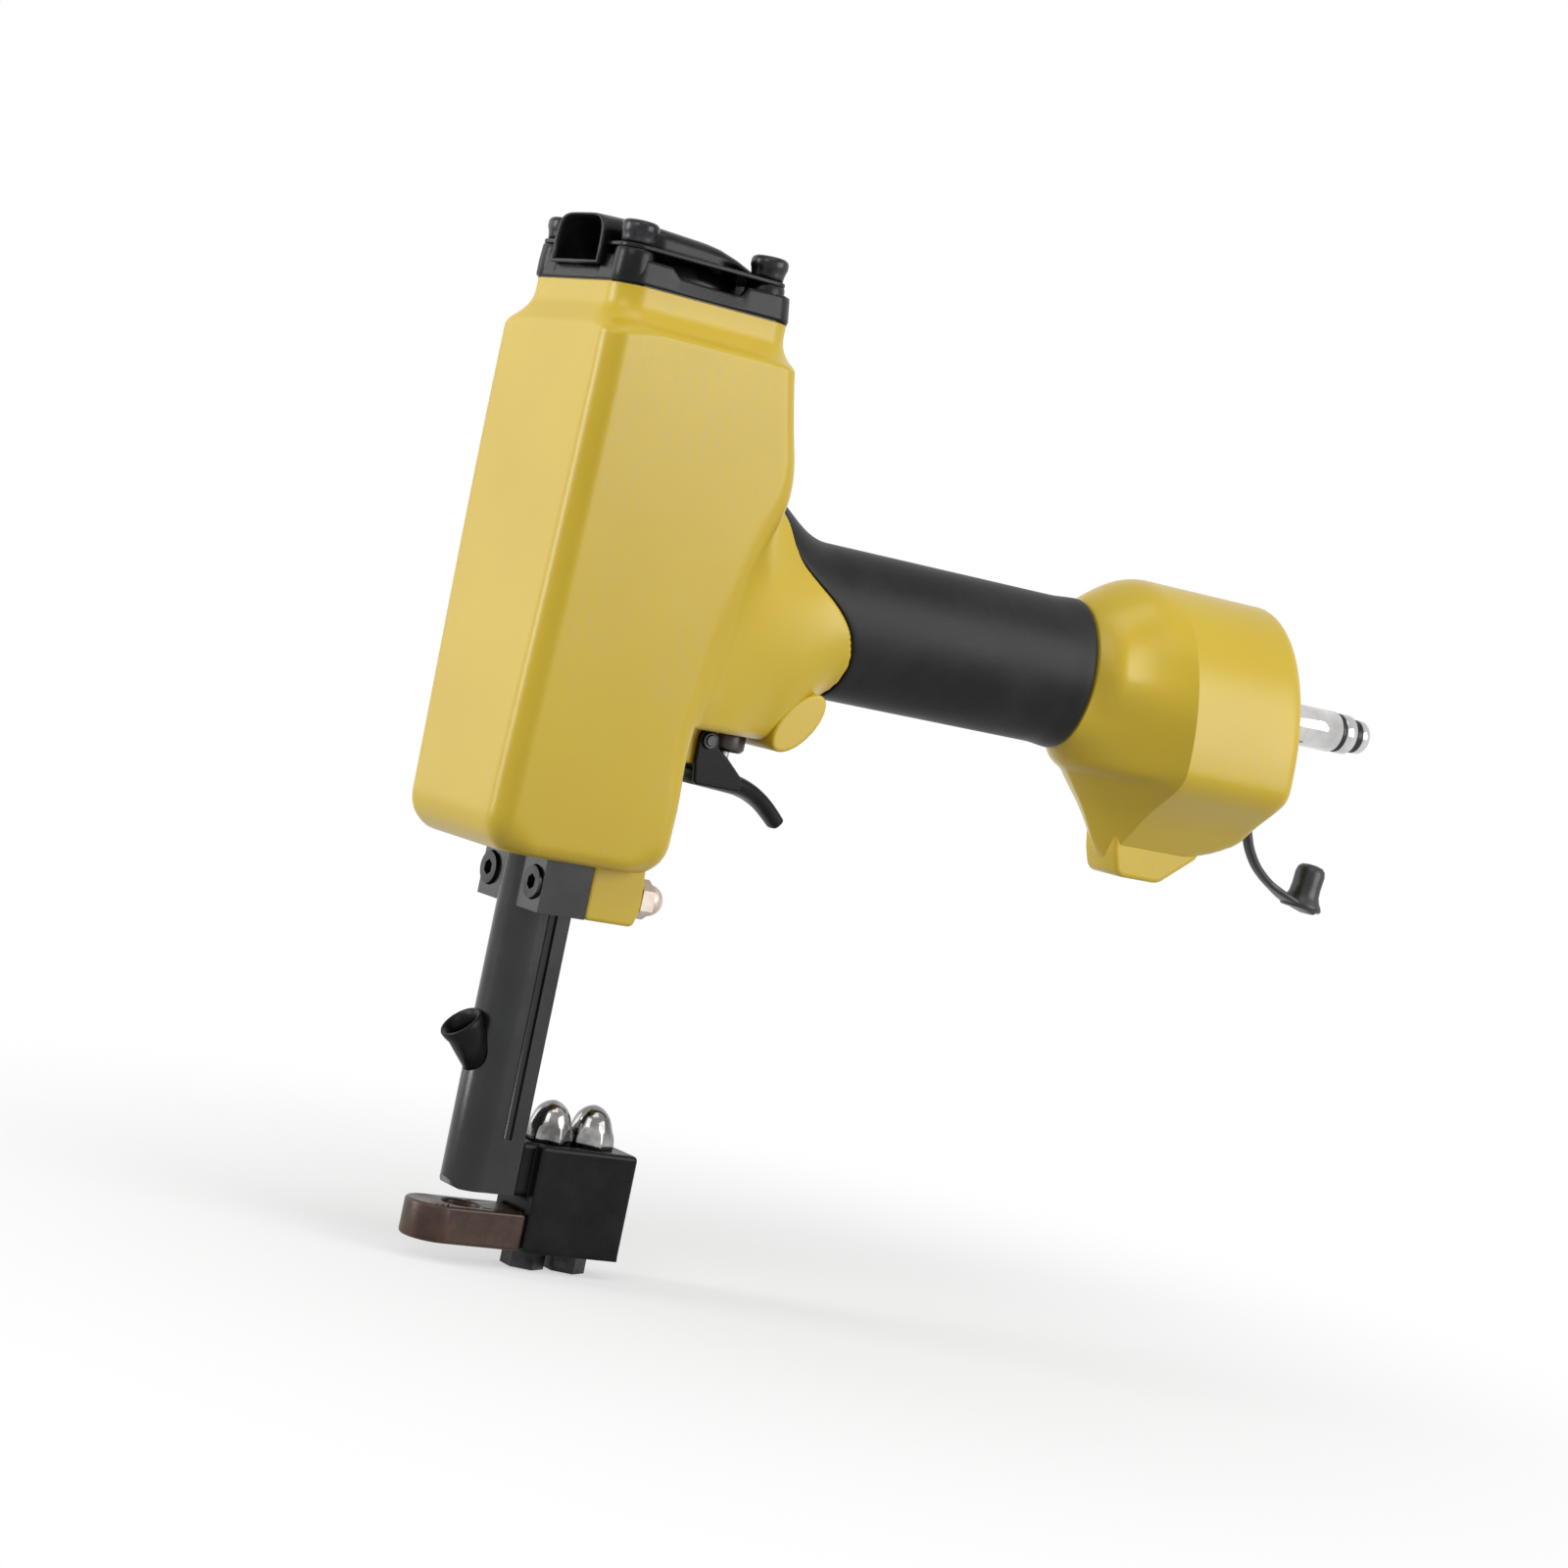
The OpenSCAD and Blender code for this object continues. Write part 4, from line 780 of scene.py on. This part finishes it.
# %% Cap nuts
def cap_nut(at):
    """radius(turn, height) = dome(height) * (1 + hold(height) * (hexagon(turn) - 1)), where the hexagon is
    cos 30 / cos of the turn from the middle of the nearest flat, and hold falls from 1 at the base to 0."""
    turn = np.linspace(0, 2 * np.pi, 96, endpoint=False)
    nearest = (turn + np.pi / 6) % (np.pi / 3) - np.pi / 6
    hexagon = np.cos(np.pi / 6) / np.cos(nearest)
    high = np.array([0, 0, 0.25, 1.5, 3.0, 4.2, 5.2, 6.4, 7.8, 9.0, 10.0, 10.8, 11.4, 11.8, 12.0])
    dome = np.array([3, 7.0, 7.35, 7.3, 7.1, 6.75, 6.3, 5.85, 5.35, 4.75, 4.0, 3.1, 2.2, 1.2, 0.4])
    hold = 1 - ease((high - 2.5) / 3.2)
    radius = dome[:, None] * (1 + hold[:, None] * (hexagon - 1))
    return skin(np.stack([at[0] + radius * np.cos(turn), at[1] + radius * np.sin(turn),
                          at[2] + high[:, None] + 0 * radius], -1))


nut_points = np.array([v.co for v in nodes["foot_nuts"].data.vertices]) / MM
middle = (nut_points[:, 0].min() + nut_points[:, 0].max()) / 2
front_nut = nut_points[nut_points[:, 0] < middle]
rear_nut = nut_points[nut_points[:, 0] > middle]
seats = [(p.min(0) + p.max(0)) / 2 * [1, 1, 0] + [0, 0, p[:, 2].min()] for p in (front_nut, rear_nut)]
cap_nuts = put_mesh("foot_cap_nuts", [cap_nut(seat) for seat in seats], "tool",
                    covers=["foot_nuts"])
print("cap nuts at", np.round(seats, 1).tolist())

# %% [markdown]
# ## The two springs
# A coil spring is a circle carried along a helix. Its end turns lie flat, so the rise is slow over the
# first and the last turn.

# %% Springs
def coil(radius, wire, turns, low, high, x):
    """centre(turn) = (radius cos(turn), radius sin(turn), rise(turn)). Round it goes a circle of the wire's
    radius that stands on the outward and the upward direction."""
    turn = np.linspace(0, turns, turns * 36 + 1)
    last = high - low - wire
    climb = np.interp(turn, [0, 1, turns - 1, turns], [0, 0.9 * wire, last - 0.9 * wire, last])
    rise = low + wire / 2 + climb
    out = np.stack([np.cos(2 * np.pi * turn), np.sin(2 * np.pi * turn), 0 * turn], -1)
    upward = np.array([0, 0, 1])
    around = np.linspace(0, 2 * np.pi, 12, endpoint=False)[:, None]
    centre = out * radius + np.stack([0 * turn + x, 0 * turn, rise], -1)
    return skin(centre[:, None] + wire / 2 * (np.cos(around) * out[:, None] + np.sin(around) * upward))


# Each spring's node, the joint that presses it and by how much, its wire and its number of turns.
spring_data = (("valve_spring", "valve_lift", 3.3, 0.7, 7),
               ("head_valve_spring", "head_valve_lift", 4.5, 1.5, 5))
springs = []
for node, joint, travel, wire, turns in spring_data:
    low, high = (np.array(corner) * 1000 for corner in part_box(node))
    x, radius = (low[0] + high[0]) / 2, (high[0] - low[0]) / 2
    wound = coil(radius - wire / 2, wire, turns, low[2], high[2], x)
    spring = put_mesh(node.replace("spring", "coil"), [wound], "tool", covers=[node])
    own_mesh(spring)
    springs.append(spring)
    print(spring.name, "length", round(float(high[2] - low[2]), 2), "radius", round(float(radius), 2))

# %% [markdown]
# ## Finishes
# Each material is a small node tree on the real piece's own marks: the paint has a fine orange peel and
# rubbed streaks, the rubber a dull bloom and scuffs, the castings a sandy grain, and the plated steel a
# bright broken shine. All of them read Object coordinates in metres, so a grain keeps its size on every
# piece.

# %% Material helpers
def adder(tree):
    """Gives a function that adds a node to the tree. It sets the node's own settings and its sockets'
    values by name, with _ for a space, and its links are pairs of a socket and the source that feeds it."""
    def add(kind, links=(), **values):
        node = tree.nodes.new(kind)
        for key, value in values.items():
            if hasattr(node, key):
                setattr(node, key, value)
            else:
                node.inputs[key.replace("_", " ")].default_value = value
        for socket, source in links:
            tree.links.new(source, node.inputs[socket])
        return node

    return add


def new_material(name):
    """A material with one Principled shader: (material, its tree, the shader, function that adds a node)."""
    material = bpy.data.materials.new(name)
    material.use_nodes = True
    tree = material.node_tree
    return material, tree, tree.nodes["Principled BSDF"], adder(tree)


def feed(tree, shader, links, values):
    """Links sources to the shader's sockets and sets the constant ones, both by the socket's name."""
    for socket, source in links.items():
        tree.links.new(source, shader.inputs[socket])
    for socket, value in values.items():
        shader.inputs[socket].default_value = value


def noise(add, vector, **settings):
    """Cloud noise on a vector, from 0 to 1 with most of it near 0.5."""
    return add("ShaderNodeTexNoise", [("Vector", vector)], **settings).outputs["Fac"]


def remap(add, source, start, end, low=0.0, high=1.0, **how):
    """A value carried from start..end to low..high, and held there beyond both ends."""
    node = add("ShaderNodeMapRange", [("Value", source)], From_Min=start, From_Max=end, To_Min=low,
               To_Max=high, **how)
    return node.outputs["Result"]


def times(add, first, second):
    """The product of two values."""
    return add("ShaderNodeMath", [(0, first), (1, second)], operation="MULTIPLY").outputs["Value"]


def ramp(add, source, stops):
    """A colour ramp on a value: the two stops are (place, colour)."""
    node = add("ShaderNodeValToRGB", [("Fac", source)])
    for element, (place, colour) in zip(node.color_ramp.elements, stops):
        element.position = place
        element.color = (*colour, 1)
    return node.outputs["Color"]


# %% A general finish
def surface(name, dark, light, roughness, metallic, patch, grain, stretch=(1, 1, 1), streaks=0.0, coat=0.0,
            specular=0.5, spread=(0.35, 0.65)):
    """A general finish. dark, light: the two ends of slow patches, which the noise reaches at the two values
    of spread; roughness: its two ends, on the same patches broken by a noise eight times finer, which
    stretch draws out and streaks shifts; grain: bumps per metre and their height in millimetres."""
    material, tree, shader, add = new_material(name)
    place = add("ShaderNodeTexCoord").outputs["Object"]
    patches = noise(add, place, Scale=patch, Detail=5.0, Roughness=0.6)
    drawn = add("ShaderNodeMapping", [("Vector", place)], Scale=stretch).outputs["Vector"]
    fine = noise(add, drawn, Scale=patch * 8, Detail=4.0, Roughness=0.7)
    mixed = add("ShaderNodeMix", [("Factor", fine), ("A", patches)], data_type="FLOAT", B=0.5 + streaks)
    bumps = noise(add, place, Scale=grain[0], Detail=3.0)
    bump = add("ShaderNodeBump", [("Height", bumps)], Strength=1.0, Distance=grain[1] * MM)
    feed(tree, shader,
         {"Base Color": ramp(add, patches, zip(spread, (dark, light))),
          "Roughness": remap(add, mixed.outputs["Result"], 0.35, 0.65, *roughness),
          "Normal": bump.outputs["Normal"]},
         {"Metallic": metallic, "Coat Weight": coat, "Coat Roughness": 0.2, "Specular IOR Level": specular})
    return material


# %% [markdown]
# ## The yellow paint
# Satin paint over a casting is never one yellow. It drifts a little from place to place, it has an orange
# peel that breaks the highlights, and on the flat sides it is rubbed in fine streaks that are paler and
# duller. The streaks are one drawn-out noise, kept only where a slow noise allows it and where the surface
# faces sideways.

# %% The yellow paint
def yellow_paint():
    """rubbed = streak * patch * flat, each of them remapped to 0..1. The colour goes from the base to a
    pale one and the roughness from 0.33 to 0.42 with rubbed."""
    material, tree, shader, add = new_material("yellow_paint")
    place = add("ShaderNodeTexCoord").outputs["Object"]
    drift = noise(add, place, Scale=14.0, Detail=3.0)
    base = ramp(add, drift, [(0.3, (0.585, 0.405, 0.024)), (0.7, (0.645, 0.46, 0.032))])

    lean = add("ShaderNodeMapping", [("Vector", place)], Scale=(260, 60, 60), Rotation=(0, 0.7, 0))
    streak = remap(add, noise(add, lean.outputs["Vector"], Scale=3.0, Detail=4.0, Roughness=0.65), 0.5, 0.72)
    patch = remap(add, noise(add, place, Scale=22.0, Detail=2.0), 0.42, 0.66)
    face = add("ShaderNodeSeparateXYZ", [("Vector", add("ShaderNodeNewGeometry").outputs["Normal"])])
    sideways = add("ShaderNodeMath", [(0, face.outputs["Y"])], operation="ABSOLUTE").outputs["Value"]
    flat = remap(add, sideways, 0.93, 1.0)
    rubbed = times(add, times(add, streak, patch), flat)

    # In a colour mix the sockets 6 and 7 are the two colours and output 2 is the mixed one.
    colour = add("ShaderNodeMix", [("Factor", rubbed), (6, base)], data_type="RGBA")
    colour.inputs[7].default_value = (0.56, 0.42, 0.12, 1)
    peel = noise(add, place, Scale=420.0, Detail=2.0)
    bump = add("ShaderNodeBump", [("Height", peel)], Strength=0.6, Distance=0.03 * MM)
    feed(tree, shader,
         {"Base Color": colour.outputs[2], "Roughness": remap(add, rubbed, 0, 1, 0.33, 0.42),
          "Normal": bump.outputs["Normal"]},
         {"Specular IOR Level": 0.3, "Coat Weight": 0.2, "Coat Roughness": 0.28})
    return material


# %% [markdown]
# ## The other finishes
# Each row below is one finish of the real tool. Castings and rubber are almost black and differ in gloss
# and grain. Blued steel is dark with a clear shine, plated nuts are metals with cloudy colour, and bare tool
# steel carries drawn-out marks from the machine that cut it.

# %% Table of finishes
DARK = (0.004, 0.004, 0.0045)
SOOT = (0.010, 0.010, 0.011)
# Each row: dark and light colour, the two ends of the roughness, metallic, patches per metre, bumps per
# metre with their height in millimetres, and what else is special.
looks = {
    "black_casting": (DARK, SOOT, (0.26, 0.42), 0.0, 90, (1400, 0.04), {"specular": 0.12}),
    "cap_black": ((0.003, 0.003, 0.0035), (0.028, 0.028, 0.030), (0.16, 0.4), 0.0, 42, (1400, 0.04),
                  {"specular": 0.2, "spread": (0.45, 0.68)}),
    "blued_steel": ((0.004, 0.0045, 0.005), (0.011, 0.012, 0.013), (0.18, 0.3), 0.0, 70, (1600, 0.02),
                    {"stretch": (1, 1, 0.1), "specular": 0.42, "coat": 0.1}),
    "gunmetal": ((0.012, 0.012, 0.013), (0.05, 0.05, 0.054), (0.2, 0.38), 0.8, 150, (1800, 0.012), {}),
    "bright_plate": ((0.48, 0.475, 0.47), (0.66, 0.65, 0.64), (0.05, 0.14), 1.0, 90, (1200, 0.01), {}),
    # The cap nuts' nickel is darker than bright plate: a painted dark reflection of the surroundings they
    # mirror.
    "nickel_painted_dark_reflection": ((0.12, 0.118, 0.115), (0.42, 0.41, 0.40), (0.08, 0.2), 1.0, 120, (1200, 0.01), {}),
    "pale_plate": ((0.55, 0.44, 0.37), (0.74, 0.64, 0.57), (0.3, 0.45), 0.35, 200, (1200, 0.01), {}),
    "tool_steel": ((0.3, 0.31, 0.32), (0.46, 0.47, 0.49), (0.22, 0.4), 1.0, 120, (900, 0.008),
                   {"stretch": (1, 1, 0.05), "streaks": 0.1}),
    "spring_steel": ((0.26, 0.27, 0.28), (0.4, 0.41, 0.42), (0.25, 0.4), 1.0, 150, (900, 0.02), {}),
    "aluminium_part": ((0.55, 0.55, 0.56), (0.72, 0.72, 0.74), (0.26, 0.42), 1.0, 130, (1500, 0.01), {}),
    "bronze_steel": ((0.020, 0.010, 0.007), (0.075, 0.036, 0.022), (0.28, 0.5), 0.35, 110, (1300, 0.03),
                     {"spread": (0.3, 0.75)}),
    "grip_rubber": ((0.005, 0.005, 0.0055), (0.018, 0.018, 0.020), (0.34, 0.5), 0.0, 40, (1500, 0.03),
                    {"stretch": (0.25, 1, 1.6), "streaks": 0.08, "specular": 0.2, "spread": (0.42, 0.72)}),
    "black_rubber": (DARK, SOOT, (0.3, 0.45), 0.0, 120, (1300, 0.04), {}),
    "brown_plastic": ((0.010, 0.006, 0.005), (0.045, 0.024, 0.017), (0.3, 0.5), 0.0, 140, (1300, 0.02), {}),
    "brass_mesh": ((0.5, 0.34, 0.12), (0.66, 0.48, 0.2), (0.28, 0.45), 1.0, 150, (900, 0.02), {}),
    "copper_washer": ((0.5, 0.22, 0.11), (0.68, 0.34, 0.19), (0.25, 0.42), 1.0, 150, (900, 0.02), {}),
}
finishes = {"yellow_paint": yellow_paint()}
for name, (*common, special) in looks.items():
    finishes[name] = surface(name, *common, **special)
print("finishes:", len(finishes))

# %% [markdown]
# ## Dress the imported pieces
# The CAD pieces that stay are made of loose triangles, so a Weld joins them and a small Bevel gives the
# machined edges the fine bright line that real ones have. Most pieces wear the finish of their slot. A few
# get a finer one, such as the blued nose bar and the pale plated nuts behind it.

# %% Finish and edges
# Widths of the rounded edges in millimetres, for pieces that are coarser than the usual 0.4.
edge_width = {"foot_block": 1.3, "foot_plate": 1.0, "foot_bolts": 0.7, "nose_nuts": 0.7, "nose_guide": 0.6,
              "valve_body": 0.6}
dressed = {"trigger_pin": "gunmetal", "trigger_pin_clips": "gunmetal", "nose_guide": "blued_steel",
           "nose_nuts": "pale_plate"}
shown = {name: obj for name, obj in nodes.items() if obj.type == "MESH" and not obj.hide_render}
for name, obj in shown.items():
    for slot in obj.material_slots:
        slot.material = finishes[dressed.get(name, slot.material.name.split(".")[0])]
    weld = obj.modifiers.new("weld", "WELD")
    weld.merge_threshold = 0.01 * MM
    bevel = obj.modifiers.new("edges", "BEVEL")
    bevel.width = edge_width.get(name, 0.4) * MM
    bevel.segments = 3
    bevel.limit_method = "ANGLE"
    bevel.angle_limit = math.radians(35)
    bevel.harden_normals = False
print("CAD pieces dressed:", len(shown))

# %% [markdown]
# ## Dress the pieces made here
# Each skin takes one finish. Only the plug has two: the faces in its grooves and its bore take the dark one,
# as painted shade where those hollows look dark.

# %% Finish of the made pieces
made = {housing: "yellow_paint", grip: "grip_rubber", cap: "cap_black", deflector: "cap_black",
        screws: "gunmetal", trigger: "black_casting", spout: "black_casting", plug: "bright_plate",
        dust_cap: "black_rubber", cap_nuts: "nickel_painted_dark_reflection", **{spring: "spring_steel" for spring in springs}}
for piece, key in made.items():
    piece.data.materials.clear()
    piece.data.materials.append(finishes[key])

# The second finish, on the faces in the two grooves and in the bore, is painted shade in those hollows.
plug.data.materials.append(finishes["gunmetal"])
centres = np.array([face.center for face in plug.data.polygons]) / MM
along = centres[:, 0]
outer = np.hypot(centres[:, 1], centres[:, 2] - GRIP_Z)
collar_groove = (along > 279.9) & (along < 281.5)
lock_groove = (along > 286.4) & (along < 288.9)
painted_shade_faces = (collar_groove | lock_groove) & (outer > 4) | (outer < 3.9)
plug.data.polygons.foreach_set("material_index", painted_shade_faces.astype(np.int32))
print("made pieces dressed:", len(made), "with", int(painted_shade_faces.sum()), "dark faces on the plug")

# %% [markdown]
# ## Camera
# The camera stands where the photographer stood: 33 degrees round from the tool's side, a little below its
# middle, with the tool leaning in the picture.

# %% Camera
AZIMUTH, PITCH, ROLL = (math.radians(v) for v in (33, -1.82, 11.8))
CAMERA_AT = (-0.5190, -0.9193, 0.1637)
# The focal length is 3810 of the picture's 1600 pixels.
SENSOR = 36
FOCAL, PICTURE = 3810, 1600
look = Vector((math.sin(AZIMUTH) * math.cos(PITCH), math.cos(AZIMUTH) * math.cos(PITCH), math.sin(PITCH)))
level = Vector((math.cos(AZIMUTH), -math.sin(AZIMUTH), 0))
over = level.cross(look)
right = math.cos(ROLL) * level + math.sin(ROLL) * over
above = math.cos(ROLL) * over - math.sin(ROLL) * level
camera = bpy.data.objects.new("camera", bpy.data.cameras.new("camera"))
camera.data.lens = FOCAL * SENSOR / PICTURE
camera.data.sensor_width = SENSOR
camera.data.clip_start = 0.05
camera.data.clip_end = 20
turned = Matrix((right, above, -look)).transposed().to_4x4()
camera.matrix_world = Matrix.Translation(CAMERA_AT) @ turned
scene.collection.objects.link(camera)
scene.camera = camera
print("camera", round(Vector(CAMERA_AT).length, 3), "m from the nose")

# %% [markdown]
# ## Floor
# The floor is a matt, near-white sheet that fades to pure white with distance, as a studio sweep does. The
# camera and the reflections see that sheet. The light that bounces up from it comes from a greyer one,
# because a white sheet of this size would light the tool's underside far more than the photographer's did.

# %% Floor
def seen_or_mirrored(add):
    """1 for rays from the camera and for mirrored ones, 0 for all others: the larger of the two flags."""
    path = add("ShaderNodeLightPath")
    return add("ShaderNodeMath", [(0, path.outputs["Is Camera Ray"]), (1, path.outputs["Is Glossy Ray"])],
               operation="MAXIMUM").outputs["Value"]


disc = bmesh.new()
bmesh.ops.create_circle(disc, cap_ends=True, radius=6, segments=96)
floor_mesh = bpy.data.meshes.new("floor")
disc.to_mesh(floor_mesh)
disc.free()
floor = bpy.data.objects.new("floor", floor_mesh)
floor.location = (0.1, 0, cad_box[0][2] - 0.0004)
scene.collection.objects.link(floor)

paper, tree, shader, add = new_material("floor_paper")
feed(tree, shader, {}, {"Base Color": (0.9, 0.9, 0.9, 1), "Roughness": 0.9, "Specular IOR Level": 0.1})
far = add("ShaderNodeVectorMath", [(0, add("ShaderNodeTexCoord").outputs["Object"])], operation="LENGTH")
fade = remap(add, far.outputs["Value"], 0.02, 0.36, low=0.5, interpolation_type="SMOOTHSTEP")
white = add("ShaderNodeEmission").outputs["Emission"]
sheet = add("ShaderNodeMixShader", [(0, fade), (1, shader.outputs["BSDF"]), (2, white)]).outputs["Shader"]
grey = add("ShaderNodeBsdfDiffuse", Color=(0.42, 0.42, 0.42, 1)).outputs["BSDF"]
swap = add("ShaderNodeMixShader", [(0, seen_or_mirrored(add)), (1, grey), (2, sheet)]).outputs["Shader"]
tree.links.new(swap, tree.nodes["Material Output"].inputs["Surface"])
floor_mesh.materials.append(paper)
print("floor at z =", round(floor.location.z / MM, 1), "mm")

# %% [markdown]
# ## Light
# The room is a soft grey for the light it gives and white where it is seen or mirrored, which is what makes
# the bright plate bright. Five soft boxes do the rest: an edge light from the front, a key light, two broad
# ones that lay a sheen on the front and on the side, and one from above.

# %% Light
world = bpy.data.worlds.new("studio")
scene.world = world
world.use_nodes = True
sky = world.node_tree
add = adder(sky)
room = sky.nodes["Background"]
room.inputs["Color"].default_value = (0.5, 0.5, 0.5, 1)
room.inputs["Strength"].default_value = 0.4
backdrop = add("ShaderNodeBackground", Color=(1, 1, 1, 1))
swap = add("ShaderNodeMixShader", [(0, seen_or_mirrored(add)), (1, room.outputs["Background"]),
                                   (2, backdrop.outputs["Background"])])
sky.links.new(swap.outputs["Shader"], sky.nodes["World Output"].inputs["Surface"])
scene.view_settings.view_transform = "Standard"


def softbox(name, place, aim, size, power):
    """A rectangular area light at place, turned to aim, all in metres and watts."""
    lamp = bpy.data.lights.new(name, "AREA")
    lamp.shape = "RECTANGLE"
    lamp.size, lamp.size_y = size
    lamp.energy = power
    box = bpy.data.objects.new(name, lamp)
    box.location = place
    box.rotation_euler = (Vector(aim) - Vector(place)).to_track_quat("-Z", "Y").to_euler()
    scene.collection.objects.link(box)


softbox("edge", (-1.25, 0.42, 0.25), (0.0, 0, 0.12), (0.4, 1.3), 16)
softbox("key", (-1.0, -0.7, 1.0), (0.0, 0, 0.16), (0.6, 0.6), 3.5)
softbox("front_sheen", (-0.75, 1.1, 0.3), (0.0, 0, 0.17), (0.5, 1.1), 2.5)
softbox("side_sheen", (0.85, -1.15, 0.55), (0.1, 0, 0.19), (1.0, 0.9), 14)
softbox("top", (0.0, -0.5, 1.4), (0.1, 0, 0.17), (0.8, 0.6), 3.5)
print("lights:", len(bpy.data.lights))
